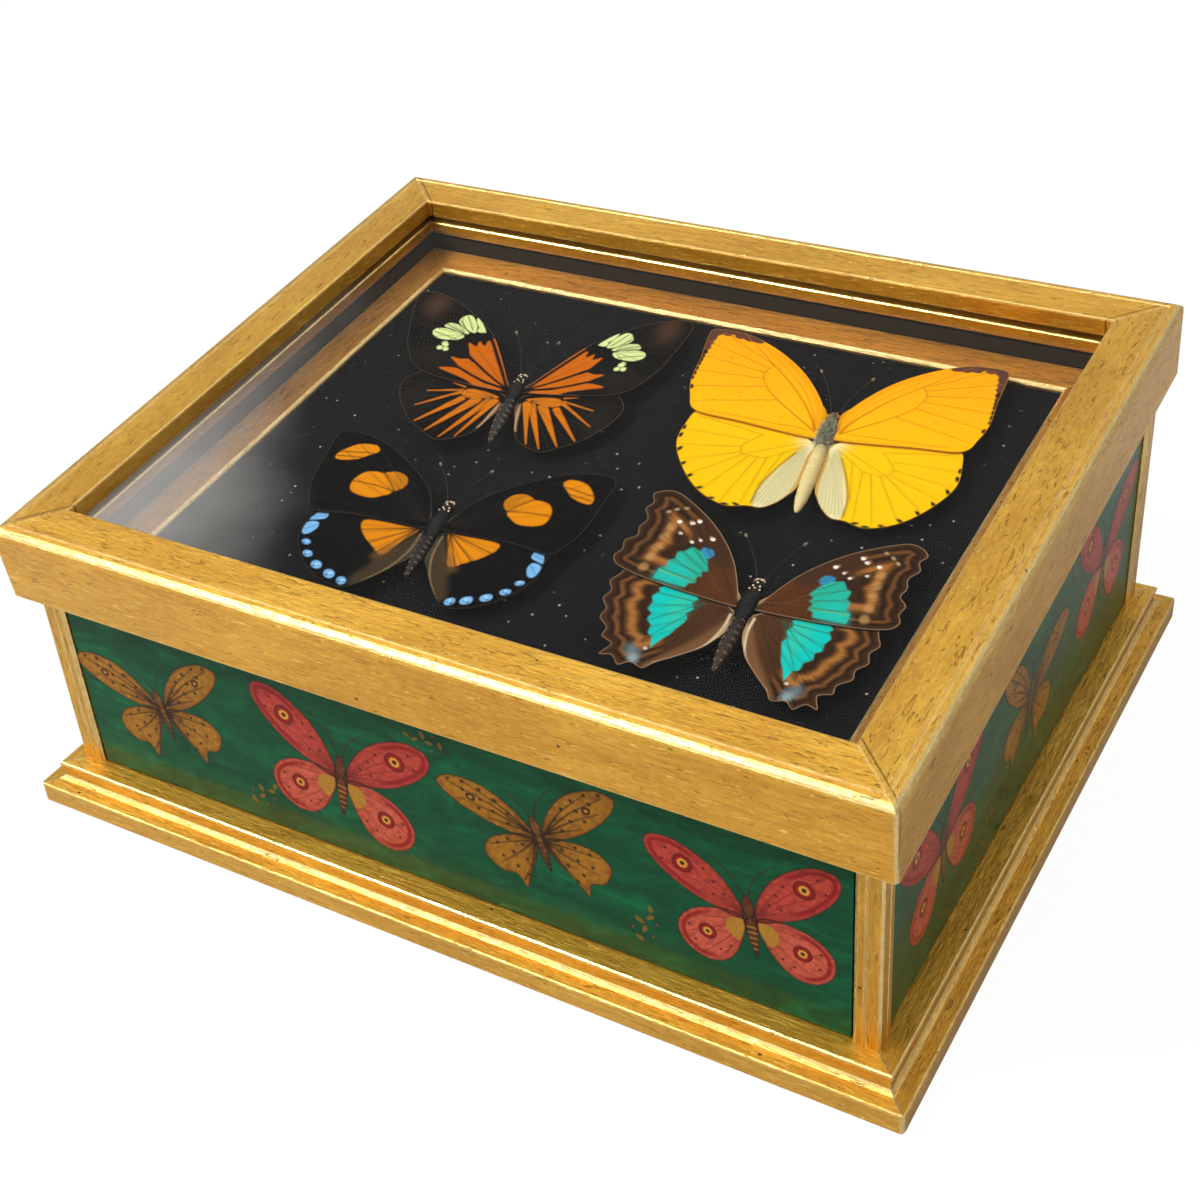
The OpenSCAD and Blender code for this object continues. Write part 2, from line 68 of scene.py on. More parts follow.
def rgb(r, g, b):
    """A colour written as 0 to 255 on screen, as linear values."""
    v = np.array([r, g, b]) / 255
    return tuple(np.where(v <= 0.04045, v / 12.92, ((v + 0.055) / 1.055) ** 2.4))


def rgba(r, g, b):
    return (*rgb(r, g, b), 1.0)


class Nodes:
    """A node tree, with short names for the nodes used here."""

    def __init__(self, tree):
        self.tree = tree

    def add(self, kind, inputs=(), **props):
        node = self.tree.nodes.new(kind)
        for key, value in props.items():
            setattr(node, key, value)
        for key, value in dict(inputs).items():
            socket = node.inputs[key]
            if isinstance(value, bpy.types.NodeSocket):
                self.tree.links.new(value, socket)
            else:
                socket.default_value = value
        return node

    def place(self, scale):
        source = self.add("ShaderNodeTexCoord").outputs["Object"]
        return self.add("ShaderNodeMapping", {"Vector": source, "Scale": scale}).outputs[0]

    def noise(self, scale, detail=4.0, rough=0.55, warp=0.0):
        """Noise with scale features to the metre along each axis."""
        inputs = {"Vector": self.place(scale), "Scale": 1.0, "Detail": detail, "Roughness": rough,
                  "Distortion": warp}
        return self.add("ShaderNodeTexNoise", inputs).outputs["Fac"]

    def cells(self, scale):
        return self.add("ShaderNodeTexVoronoi", {"Vector": self.place(scale), "Scale": 1.0})

    def specks(self, cells, low, high, least, most):
        """1 within low of the cells' centres and 0 beyond high, for a chance share of the cells."""
        near = self.fall(cells.outputs["Distance"], low, high)
        chance = self.add("ShaderNodeSeparateColor", {0: cells.outputs["Color"]}).outputs[0]
        return self.times(near, self.spread(chance, least, most))

    def ramp(self, value, stops):
        node = self.add("ShaderNodeValToRGB", {"Fac": value})
        elements = node.color_ramp.elements
        while len(elements) < len(stops):
            elements.new(0.5)
        for element, (at, colour) in zip(elements, stops):
            element.position = at
            element.color = colour if isinstance(colour, tuple) else (colour, colour, colour, 1)
        return node.outputs["Color"]

    def rise(self, value, low, high):
        """0 up to low, 1 from high on."""
        return self.ramp(value, [(0.0, 0.0), (low, 0.0), (high, 1.0), (1.0, 1.0)])

    def fall(self, value, low, high):
        """1 up to low, 0 from high on."""
        return self.ramp(value, [(0.0, 1.0), (low, 1.0), (high, 0.0), (1.0, 0.0)])

    def math(self, what, a, b=0.0):
        return self.add("ShaderNodeMath", {0: a, 1: b}, operation=what).outputs[0]

    def plus(self, a, b):
        return self.math("ADD", a, b)

    def minus(self, a, b):
        return self.math("SUBTRACT", a, b)

    def times(self, a, b):
        return self.math("MULTIPLY", a, b)

    def mix(self, amount, a, b, how="MIX"):
        node = self.add("ShaderNodeMix", data_type="RGBA", blend_type=how)
        for socket, value in zip((node.inputs[0], node.inputs[6], node.inputs[7]), (amount, a, b)):
            if isinstance(value, bpy.types.NodeSocket):
                self.tree.links.new(value, socket)
            else:
                socket.default_value = value
        return node.outputs[2]

    def glaze(self, colour, layers):
        """Colours laid over one another, each by its own amount."""
        for amount, over in layers:
            colour = self.mix(amount, colour, over)
        return colour

    def spread(self, value, low, high, to_low=0.0, to_high=1.0):
        inputs = {"Value": value, "From Min": low, "From Max": high, "To Min": to_low, "To Max": to_high}
        return self.add("ShaderNodeMapRange", inputs).outputs[0]

    def bump(self, height, strength, depth):
        inputs = {"Height": height, "Strength": strength, "Distance": depth}
        return self.add("ShaderNodeBump", inputs).outputs[0]

    def blend(self, amount, a, b):
        """A shader that is a where the amount is 0 and b where it is 1."""
        return self.add("ShaderNodeMixShader", {0: amount, 1: a, 2: b}).outputs[0]


class Paint(Nodes):
    """A material with a Principled shader, whose inputs are the named values."""

    def __init__(self, name, **values):
        self.material = bpy.data.materials.new(name)
        self.material.use_nodes = True
        super().__init__(self.material.node_tree)
        self.shader = self.tree.nodes["Principled BSDF"]
        for key, value in values.items():
            self.shader.inputs[key.replace("_", " ")].default_value = value

    def to(self, socket, value):
        self.tree.links.new(value, self.shader.inputs[socket])

    def surface(self, shader):
        self.tree.links.new(shader, self.tree.nodes["Material Output"].inputs["Surface"])


# Materials

ARRIS = 0.7  # how far from an edge the gilding is rubbed and painted with a highlight


def mitre_line(p, half_w, half_d, mid_y, width):
    """1 on the mitre lines of a frame, 0 elsewhere."""
    xyz = p.add("ShaderNodeSeparateXYZ", {0: p.add("ShaderNodeTexCoord").outputs["Object"]})
    u = p.minus(half_w * MM, p.math("ABSOLUTE", xyz.outputs[0]))
    v = p.minus(xyz.outputs[1], mid_y * MM)
    v = p.minus(half_d * MM, p.math("ABSOLUTE", v))
    gap = p.math("ABSOLUTE", p.minus(u, v))
    return p.spread(gap, 0.0, width * MM, 1.0, 0.0)


def rubbed_and_highlit_edges(p):
    """1 on rounded edges and near sharp ones, where the gilding is painted bright: partly rubbed gilding,
    partly a painted highlight.
    """
    soft = p.add("ShaderNodeBevel", {"Radius": ARRIS * MM}, samples=6).outputs[0]
    true = p.add("ShaderNodeNewGeometry").outputs["True Normal"]
    dot = p.add("ShaderNodeVectorMath", {0: soft, 1: true}, operation="DOT_PRODUCT").outputs["Value"]
    arris = p.spread(dot, 0.995, 0.90, 0.0, 0.6)
    # Faces turned off the axes, the rounded mouldings, also get the painted highlight
    facing = p.add("ShaderNodeSeparateXYZ", {0: p.add("ShaderNodeTexCoord").outputs["Normal"]})
    most = p.math("ABSOLUTE", facing.outputs[0])
    for i in (1, 2):
        most = p.math("MAXIMUM", most, p.math("ABSOLUTE", facing.outputs[i]))
    return p.math("MAXIMUM", arris, p.spread(most, 0.965, 0.85, 0.0, 0.85))


def gilt(name, along, tone=(1, 1, 1), mitre=None):
    """Satin gilding over open-grained wood, with the grain along axis 0, 1 or 2."""
    p = Paint(name, Metallic=0.8, Coat_Roughness=0.1)

    def grain(long, across):
        scale = [across] * 3
        scale[along] = long
        return tuple(scale)

    def shade(r, g, b):
        return rgba(*(min(255, v * t) for v, t in zip((r, g, b), tone)))

    fine = p.noise(grain(160, 1500), 5.0, 0.7)
    broad = p.noise(grain(26, 110), 4.0, 0.6, warp=0.5)
    cloud = p.noise((22, 22, 22), 4.0, 0.6, warp=0.5)
    mottle = p.noise(grain(420, 900), 3.0, 0.6, warp=0.4)
    groove = p.fall(p.noise(grain(210, 1300), 3.0, 0.5, warp=1.3), 0.33, 0.37)
    scratch = p.rise(p.noise(grain(170, 1500), 2.0, 0.5, warp=1.9), 0.645, 0.68)
    dot = p.specks(p.cells((120, 120, 120)), 0.035, 0.06, 0.5, 0.6)

    stops = [(0.25, shade(190, 136, 36)), (0.5, shade(212, 160, 50)), (0.75, shade(230, 181, 66))]
    layers = [
        (p.spread(cloud, 0.35, 0.7, 0.0, 0.55), shade(192, 138, 38)),
        (p.spread(mottle, 0.5, 0.75, 0.0, 0.35), shade(242, 198, 84)),
        (p.spread(fine, 0.45, 0.68, 0.0, 0.42), shade(152, 100, 24)),
        (p.times(groove, 0.5), shade(104, 66, 20)),
        (p.times(scratch, 0.45), shade(250, 214, 112)),
        (p.times(dot, 0.85), shade(48, 30, 14)),
    ]
    if mitre:
        layers.append((p.times(mitre_line(p, *mitre), 0.8), shade(50, 32, 14)))
    colour = p.glaze(p.ramp(broad, stops), layers)
    # Edges and rounded faces painted pale gold: partly rubbed gilding, partly a painted highlight
    rub_and_highlight = p.times(rubbed_and_highlit_edges(p), p.spread(mottle, 0.25, 0.6, 0.55, 1.0))
    colour = p.mix(p.times(rub_and_highlight, 0.7), colour, rgba(255, 236, 168))
    p.to("Base Color", colour)
    rough = p.spread(p.plus(fine, p.times(groove, 0.4)), 0.3, 0.8, 0.30, 0.52)
    p.to("Roughness", p.minus(rough, p.times(rub_and_highlight, 0.14)))
    height = p.times(fine, 0.55)
    for value, share in ((scratch, 0.5), (groove, -1.1), (dot, -1.0), (broad, 1.6), (mottle, 0.5)):
        height = p.plus(height, p.times(value, share))
    relief = p.bump(height, p.spread(rub_and_highlight, 0.0, 1.0, 0.75, 0.3), 0.00038)
    p.to("Normal", relief)
    p.to("Coat Normal", relief)
    p.to("Coat Weight", p.spread(rub_and_highlight, 0.0, 1.0, 0.28, 0.8))
    return p.material


def lacquer(name):
    """Hand-painted green under a gloss."""
    p = Paint(name, Roughness=0.25, Specular_IOR_Level=0.09, Coat_Weight=0.09, Coat_Roughness=0.03)
    brush = p.noise((42, 42, 520), 4.0, 0.6, warp=0.6)
    blotch = p.noise((55, 55, 130), 4.0, 0.6, warp=1.4)
    speck = p.rise(p.noise((900, 900, 900), 2.0, 0.6), 0.70, 0.76)
    chip = p.specks(p.cells((170, 170, 170)), 0.03, 0.06, 0.6, 0.7)
    colour = p.ramp(blotch, [(0.28, rgba(1, 56, 34)), (0.50, rgba(1, 74, 44)), (0.72, rgba(4, 100, 60))])
    p.to("Base Color", p.glaze(colour, [
        (p.spread(brush, 0.42, 0.66, 0.0, 0.6), rgba(2, 62, 38)),
        (p.times(speck, 0.2), rgba(30, 128, 84)),
        (p.times(chip, 0.8), rgba(6, 26, 18)),
    ]))
    height = p.minus(p.plus(brush, blotch), chip)
    p.to("Normal", p.bump(height, 0.14, 0.0002))
    return p.material


def lining():
    """Satin grey-brown paper on the inner walls."""
    p = Paint("lining", Roughness=0.42, Specular_IOR_Level=0.25)
    fleck = p.noise((900, 900, 900), 3.0, 0.6)
    band = p.noise((6, 6, 260), 2.0, 0.5)
    colour = p.ramp(fleck, [(0.3, rgba(34, 28, 20)), (0.7, rgba(49, 41, 29))])
    p.to("Base Color", p.mix(p.spread(band, 0.4, 0.65, 0.0, 0.5), colour, rgba(40, 36, 31)))
    p.to("Normal", p.bump(fleck, 0.04, 0.0001))
    return p.material


def board():
    p = Paint("board", Roughness=0.62)
    grain = p.noise((40, 700, 700), 5.0, 0.6, warp=0.3)
    p.to("Base Color", p.ramp(grain, [(0.3, rgba(128, 96, 58)), (0.7, rgba(176, 142, 96))]))
    p.to("Normal", p.bump(grain, 0.3, 0.0002))
    return p.material


def foam():
    p = Paint("foam", Roughness=0.9)
    cell = p.cells((1400, 1400, 1400)).outputs["Distance"]
    p.to("Base Color", p.ramp(cell, [(0.0, rgba(206, 204, 190)), (0.6, rgba(232, 231, 222))]))
    p.to("Normal", p.bump(cell, 0.5, 0.0002))
    return p.material


def velvet():
    """Black pile with a few specks of dust."""
    p = Paint("velvet", Roughness=0.9, Specular_IOR_Level=0.05, Sheen_Weight=0.02, Sheen_Roughness=0.4)
    pile = p.noise((2600, 2600, 2600), 2.0, 0.7)
    shade = p.noise((18, 18, 18), 3.0, 0.5)
    dust = p.specks(p.cells((270, 270, 12)), 0.06, 0.095, 0.35, 0.9)
    fibre = p.rise(p.noise((420, 1500, 1500), 1.0, 0.4, warp=2.5), 0.74, 0.77)
    colour = p.ramp(pile, [(0.3, rgba(11, 11, 12)), (0.75, rgba(17, 17, 19))])
    p.to("Base Color", p.glaze(colour, [
        (p.spread(shade, 0.3, 0.8, 0.0, 0.5), rgba(9, 9, 11)),
        (p.times(dust, 0.8), rgba(190, 190, 190)),
        (p.times(fibre, 0.30), rgba(150, 150, 150)),
    ]))
    p.to("Normal", p.bump(pile, 0.08, 0.0001))
    return p.material


def glass():
    """Clear pane that lets the lamps through, with a pale film at the front left: a painted reflection
    haze, with some dust.
    """
    p = Paint("glass")
    clear = p.add("ShaderNodeBsdfTransparent", {"Color": (0.985, 0.99, 0.985, 1)}).outputs[0]
    shine = p.add("ShaderNodeBsdfGlossy", {"Color": (1, 1, 1, 1), "Roughness": 0.015}).outputs[0]
    # Pale diffuse layer: a painted reflection haze on the glass, with some dust
    dust = p.add("ShaderNodeBsdfDiffuse", {"Color": (0.9, 0.9, 0.88, 1)}).outputs[0]
    front = p.minus(1.0, p.add("ShaderNodeNewGeometry").outputs["Backfacing"])
    facing = p.add("ShaderNodeFresnel", {"IOR": 1.15}).outputs[0]
    xyz = p.add("ShaderNodeSeparateXYZ", {0: p.add("ShaderNodeTexCoord").outputs["Object"]})
    wander = p.times(p.minus(p.noise((16, 16, 16), 3.0), 0.5), 0.05)
    across = p.plus(p.plus(xyz.outputs[0], wander), p.times(xyz.outputs[1], 0.45))
    inputs = {"Value": across, "From Min": -0.070, "From Max": -0.130}
    reflection_and_dust_film = p.add("ShaderNodeMapRange", inputs, interpolation_type="SMOOTHSTEP").outputs[0]
    reflection_and_dust_film = p.times(reflection_and_dust_film, 0.24)
    reflection_and_dust_film = p.times(p.plus(reflection_and_dust_film, 0.001), front)
    p.surface(p.blend(p.times(facing, front), p.blend(reflection_and_dust_film, clear, dust), shine))
    p.tree.nodes.remove(p.shader)
    return p.material


def metal(name, dark, light, rough):
    p = Paint(name, Metallic=1.0)
    wear = p.noise((260, 260, 260), 4.0, 0.6)
    scratch = p.noise((90, 2400, 900), 3.0, 0.6)
    p.to("Base Color", p.ramp(wear, [(0.3, rgba(*dark)), (0.7, rgba(*light))]))
    p.to("Roughness", p.spread(scratch, 0.3, 0.8, rough, rough + 0.2))
    p.to("Normal", p.bump(scratch, 0.15, 0.00005))
    return p.material


def painted(name, rough=0.5, fine=0.12, coat=0.0, gloss=0.15):
    """Takes its colour from the mesh, broken up by a fine grain."""
    p = Paint(name, Roughness=rough, Coat_Weight=coat, Coat_Roughness=0.06, Specular_IOR_Level=gloss)
    colour = p.add("ShaderNodeVertexColor", layer_name="paint").outputs["Color"]
    grain = p.noise((2600, 2600, 2600), 2.0, 0.6)
    value = p.spread(grain, 0.3, 0.7, 1 - fine, 1 + fine)
    grey = p.add("ShaderNodeCombineColor", {0: value, 1: value, 2: value}).outputs[0]
    p.to("Base Color", p.mix(1.0, colour, grey, "MULTIPLY"))
    p.to("Normal", p.bump(grain, 0.08, 0.00006))
    return p.material


def chitin(name, coat):
    """Dark insect skin, taking its colour from the mesh."""
    p = Paint(name, Roughness=0.24, Specular_IOR_Level=0.14, Coat_Weight=coat, Coat_Roughness=0.05)
    colour = p.add("ShaderNodeVertexColor", layer_name="paint").outputs["Color"]
    grain = p.noise((3800, 3800, 3800), 3.0, 0.6)
    p.to("Base Color", p.mix(p.spread(grain, 0.35, 0.75, 0.0, 0.3), colour, rgba(12, 10, 9)))
    p.to("Normal", p.bump(grain, 0.15, 0.00008))
    return p.material


def antenna():
    p = Paint("antenna", Roughness=0.5)
    ring = p.noise((1800, 1800, 1800), 2.0)
    p.to("Base Color", p.ramp(ring, [(0.3, rgba(58, 42, 28)), (0.7, rgba(112, 88, 62))]))
    return p.material


# Flat drawing: outlines, distances and colours at points


def smooth(points, steps=6, closed=True):
    """A smooth curve through the points."""
    p = np.array(points, float)
    n = len(p)
    out = []
    for i in range(n if closed else n - 1):
        pick = [(i + k) % n if closed else min(max(i + k, 0), n - 1) for k in (-1, 0, 1, 2)]
        a, b, c, d = p[pick]
        for t in np.arange(steps) / steps:
            out.append(0.5 * (2 * b + (c - a) * t + (2 * a - 5 * b + 4 * c - d) * t**2
                              + (3 * b - a - 3 * c + d) * t**3))
    if not closed:
        out.append(p[-1])
    return np.array(out)


def line_distance(at, path):
    """Distance from each point to a path, and how far along the path that is, 0 to 1."""
    path = np.asarray(path, float)
    a, b = path[:-1], path[1:]
    run = np.concatenate([[0], np.cumsum(np.hypot(*(b - a).T))])
    best = np.full(len(at), 1e9)
    along = np.zeros(len(at))
    for i, (s, e) in enumerate(zip(a, b)):
        d = e - s
        t = np.clip(((at - s) @ d) / max(d @ d, 1e-12), 0, 1)
        gap = np.hypot(*(at - s - t[:, None] * d).T)
        near = gap < best
        best[near] = gap[near]
        along[near] = (run[i] + t[near] * (run[i + 1] - run[i])) / run[-1]
    return best, along


def inside(at, shape):
    """Signed distance to a closed outline, negative inside."""
    shape = np.asarray(shape, float)
    gap, _ = line_distance(at, np.vstack([shape, shape[:1]]))
    x, y = at.T
    odd = np.zeros(len(at), bool)
    for (x0, y0), (x1, y1) in zip(shape, np.roll(shape, -1, 0)):
        cross = (y0 > y) != (y1 > y)
        if y0 != y1:
            odd ^= cross & (x < (x1 - x0) * (y - y0) / (y1 - y0) + x0)
    return np.where(odd, -gap, gap)


def cover(gap, soft=0.35):
    """1 inside an edge and 0 outside it, with a soft rim."""
    return np.clip(0.5 - gap / soft, 0, 1)


VEIN_REACH = 0.45


class Drawing:
    """Colours at a set of points, laid over one another."""

    def __init__(self, at, ground):
        self.at = at
        self.colour = np.tile(rgb(*ground), (len(at), 1))
        self.lift = np.zeros(len(at))

    def lay(self, mask, colour):
        mask = np.clip(mask, 0, 1)[:, None]
        self.colour = self.colour * (1 - mask) + np.array(rgb(*colour)) * mask

    def patch(self, points, colour, soft=0.35, rounded=True, strength=1.0):
        shape = smooth(points) if rounded else np.array(points, float)
        self.lay(cover(inside(self.at, shape), soft) * strength, colour)

    def spot(self, x, y, r, colour, long=1.0, turn=0.0, soft=0.3, strength=1.0):
        a = math.radians(turn)
        d = (self.at - [x, y]) @ np.array([[math.cos(a), -math.sin(a)], [math.sin(a), math.cos(a)]])
        self.lay(cover(np.hypot(d[:, 0], d[:, 1] / long) - r, soft) * strength, colour)

    def spots(self, places, *look, **more):
        for x, y in places:
            self.spot(x, y, *look, **more)

    def glow(self, x, y, wide, tall, colour, strength):
        """A soft patch without an edge."""
        far = ((self.at[:, 0] - x) / wide) ** 2 + ((self.at[:, 1] - y) / tall) ** 2
        self.lay(np.exp(-far) * strength, colour)

    def stroke(self, points, width, colour, taper=1.0, strength=1.0, lift=0.0):
        """A line that narrows towards its end to taper times its width, and may be raised."""
        gap, along = line_distance(self.at, smooth(points, 5, False) if len(points) > 2 else points)
        half = width / 2 * (1 + (taper - 1) * along)
        self.lay(cover(gap - half, 0.3) * strength, colour)
        self.lift = np.maximum(self.lift, lift * np.exp(-((gap / VEIN_REACH) ** 2)))

    def strokes(self, lines, *look, **more):
        for line in lines:
            self.stroke(line, *look, **more)

    def veins(self, start, ends, *look, **more):
        """Straight lines from one point to several others."""
        self.strokes([(start, end) for end in ends], *look, **more)


def grid_mesh(shape, step):
    """Points and triangles that fill an outline. The outline's points come first."""
    low, high = shape.min(0), shape.max(0)
    rows = np.arange(low[1], high[1], step * 0.866)
    starts = [low[0] + (j % 2) * step / 2 for j in range(len(rows))]
    inner = np.array([(x, y) for start, y in zip(starts, rows) for x in np.arange(start, high[0], step)])
    inner = inner[inside(inner, shape) < -0.45 * step]
    points = np.vstack([shape, inner])
    corners = [Vector(q) for q in points]
    made = geometry.delaunay_2d_cdt(corners, [], [list(range(len(shape)))], 1, 1e-6, True)
    flat = np.array([tuple(v) for v in made[0]])
    tris = np.array([tuple(f) for f in made[2]])
    tris = tris[inside(flat[tris].mean(1), shape) < 0]
    turn = np.cross(flat[tris[:, 1]] - flat[tris[:, 0]], flat[tris[:, 2]] - flat[tris[:, 0]])
    tris[turn < 0] = tris[turn < 0][:, ::-1]
    return flat, [tuple(f) for f in tris.tolist()]


def make_mesh(name, points, faces, colours):
    """A mesh object from millimetres, with its colours as the attribute paint."""
    mesh = bpy.data.meshes.new(name)
    mesh.from_pydata((np.asarray(points) * MM).tolist(), [], faces)
    layer = mesh.color_attributes.new("paint", "FLOAT_COLOR", "POINT")
    data = np.ones((len(points), 4))
    data[:, :3] = colours
    layer.data.foreach_set("color", data.ravel())
    mesh.shade_smooth()
    mesh.validate()
    made = bpy.data.objects.new(name, mesh)
    bpy.context.scene.collection.objects.link(made)
    return made


# Butterflies


def in_lid(points):
    """From the lid plane's (across, back, up) to the row frame."""
    x, v, w = np.asarray(points, float).T
    c, s = math.cos(SLOPE), math.sin(SLOPE)
    return np.stack([x, CASE_D / 2 + v * c - w * s, RIM_BACK + v * s + w * c], 1)


def turned(xy, degrees):
    a = math.radians(degrees)
    return xy @ np.array([[math.cos(a), math.sin(a)], [-math.sin(a), math.cos(a)]])


def set_down(points, kind, level):
    """From a butterfly's own axes (right, forward, up) to the row frame."""
    xy = turned(points[:, :2], kind["turn"]) + np.array(kind["at"]) * TRAY_FIT
    return in_lid(np.column_stack([xy, level + points[:, 2]]))


def back_left_fore(d):
    d.glow(31, 31, 3, 6, (76, 52, 34), 0.7)
    d.glow(24, 7, 8, 6, (36, 30, 23), 0.5)
    orange = (180, 90, 0)
    d.patch([(3, 2.4), (5, 8), (8.3, 14.4), (12.2, 20.2), (11, 17), (8.5, 12.4), (5.6, 6.6), (3.2, 1.6)],
            orange)
    d.patch([(3, 0.8), (5, 4.4), (8, 10), (12.8, 18.8), (13.4, 16.2), (15.2, 17.8), (15.4, 15.4),
             (17.6, 16.4), (16.4, 13), (15, 10.4), (11, 6.8), (7, 3.2)], orange)
    d.patch([(4, 1), (8, 3.8), (12.4, 8.2), (15, 9.8), (17.6, 9), (20, 9.2), (17.8, 7), (16.2, 5.2),
             (11, 2.8), (6, 1)], orange)
    d.patch([(4, -0.2), (9, 1), (13, 3), (16, 4.7), (18.8, 4.9), (21.4, 3.8), (18, 2.6), (14, 1.2),
             (10, -1), (5, -1.2)], orange)
    d.patch([(3.4, -0.6), (8, -0.2), (12, -0.6), (15.6, -0.4), (12, -1.6), (7, -1.8)], (170, 88, 34),
            strength=0.7)
    d.veins((3, 0.8), ((11, 15.5), (14.5, 14), (16, 8.5)), 0.25, (96, 44, 8), strength=0.6)
    d.strokes(([(3, 1.2), (6.4, 8.2), (12, 18.6)], [(3, 0.4), (9, 4.9), (15.4, 10.3)],
               [(3.5, 0.2), (10, 2), (17, 5.5)]), 0.75, (18, 13, 9), 1.1, lift=0.1)
    d.stroke([(14, 9), (17, 12), (19, 17)], 1.0, (18, 14, 11), strength=0.9)
    green = (196, 208, 140)
    d.patch([(15, 22.2), (16.8, 25.4), (19, 27.9), (18.4, 25.4), (16.3, 22.4)], green, 0.25)
    d.patch([(15.7, 21.8), (17.1, 23.6), (17.2, 21.8)], green, 0.25)
    d.patch([(17.5, 21.2), (18.2, 24.6), (20.4, 28.1), (22.2, 27.9), (23.2, 25.4), (22.2, 23.6),
             (19.4, 21.6)], green, 0.25)
    d.patch([(19, 20.6), (22.4, 23.2), (25.2, 23.4), (26, 21.8), (23.6, 21), (20.8, 19.8)], green, 0.25)
    d.patch([(20, 19.2), (23.2, 20.4), (25.6, 20.9), (27.8, 19.8), (27.9, 17.8), (26, 16.2), (22.6, 16.2),
             (20.2, 17.6)], green, 0.25)
    d.spots(((23.1, 13.9), (22.5, 12.1), (24.1, 12.2), (23.5, 14.4)), 0.75, green, 1.2)
    d.strokes(([(18.4, 22), (21.6, 27.6)], [(19.6, 21.4), (22.8, 25.4)], [(20.4, 20), (25.8, 23)],
               [(21.5, 17), (27.5, 18.6)]), 0.3, (44, 48, 30), strength=0.9)
    d.veins((20, 19.5), ((26, 35), (31, 36), (35, 33), (36, 28), (34.5, 21), (32.6, 14), (30, 7)), 0.3,
            (50, 42, 32), 0.8, strength=0.55, lift=0.08)


def back_left_hind(d):
    d.glow(23, -9, 5, 8, (36, 31, 25), 0.5)
    orange = (190, 104, 2)
    d.patch([(3.6, -3), (6, -2), (9, -1.5), (12, -1.9), (12.8, -4), (11.6, -5.2), (9, -4.9), (6.2, -4.2)],
            orange)
    rays = [
        ((13, -1.2), (16, -0.4), 0.7, 0.5), ((13, -2.6), (21.2, -5.4), 0.8, 0.5),
        ((13.2, -3.6), (22.2, -11.8), 1.0, 0.35), ((12.2, -6.2), (20.2, -18), 1.9, 0.2),
        ((8.6, -5.6), (16.6, -20.8), 2.6, 0.12), ((5.6, -5.2), (12.6, -22.3), 2.1, 0.14),
        ((4, -4.6), (9, -21), 1.7, 0.16),
    ]
    for start, end, width, taper in rays:
        d.stroke([start, end], width, orange, taper)
        d.stroke([start, end], 0.16, (150, 74, 20), strength=0.4)
    d.patch([(2.6, -5), (3.4, -8), (4.2, -13), (5, -16.4), (3.6, -14), (2.7, -10)], (196, 150, 110), 0.6,
            strength=0.8)
    d.veins((5, -3.2), ((24, 3.6), (27.5, -3), (27.4, -9), (24.6, -14.4), (19.5, -19.6), (15, -22),
                        (10.5, -22.6)), 0.28, (48, 40, 30), 0.8, strength=0.5, lift=0.08)


def back_right_fore(d):
    x, y = d.at.T
    d.lay(np.clip((y - 4) / 30, 0, 1) * 0.9, (240, 152, 0))
    front, _ = line_distance(d.at, smooth([(3, 3), (4, 11), (10, 21.5), (18, 29)], 6, False))
    d.lay(cover(front - 0.9, 1.2) * 0.5, (226, 130, 0))
    ragged = 0.5 * np.sin(x * 2.3) + 0.4 * np.sin(y * 2.9)
    tip = smooth([(25, 34.2), (30, 35.2), (35, 34.4), (37, 30.5), (36.4, 24), (36.2, 18)], 6, False)
    edge, _ = line_distance(d.at, tip)
    wide = np.clip(2.4 - np.abs(y - 32) * 0.16, 0.3, 2.4)
    d.lay(cover(edge - wide * 1.25 + ragged * 0.6, 0.5), (88, 54, 42))
    d.lay(cover(edge - wide * 0.5 + ragged * 0.3, 0.8) * 0.8, (72, 52, 52))
    for py in (23.6, 21.8, 20, 18.4, 16.4, 14.4, 12.4, 8.8, 5.8):
        d.spot(35.4 if py > 10 else 34.5, py, 0.5, (30, 20, 8), 1.9, -8)
    root = [(3, 2), (6, 8.5), (11.5, 16.5), (18, 23.5)]
    low = [(3, 1.4), (9, 6.2), (14, 10.4), (17, 13.6)]
    tint = (172, 92, 0)
    d.stroke(root, 0.45, tint, 0.6, strength=0.9, lift=0.1)
    d.stroke(low, 0.45, tint, 0.6, strength=0.9, lift=0.1)
    d.stroke([(18, 23.5), (19.4, 20.8), (19.2, 17.6), (17, 13.6)], 0.3, tint, strength=0.7)
    d.stroke([(3, 2.6), (7, 13), (15, 23.5), (24, 31.5)], 0.35, tint, 0.6, strength=0.5, lift=0.08)
    d.strokes((
        ((18, 23.5), (28, 34)), ((18, 23.5), (33, 33)), ((18.8, 22), (35.6, 28)), ((19.4, 20), (35.6, 22)),
        ((19.2, 17.6), (35, 15.6)), ((17.8, 14.6), (34.6, 9)), ((14, 10.4), (32.6, 3.4)),
        ((5, 1.6), (28, 0.8)),
    ), 0.3, tint, 0.7, strength=0.75, lift=0.08)
    d.spots(((16.3, 23), (28.6, 23.6), (11.6, 4.2), (28, 5.3), (23, 10.4)), 0.3, (196, 112, 20),
            strength=0.7)
    d.lay(cover(d.at[:, 1] + 0.2, 1.2) * 0.5, (190, 130, 0))


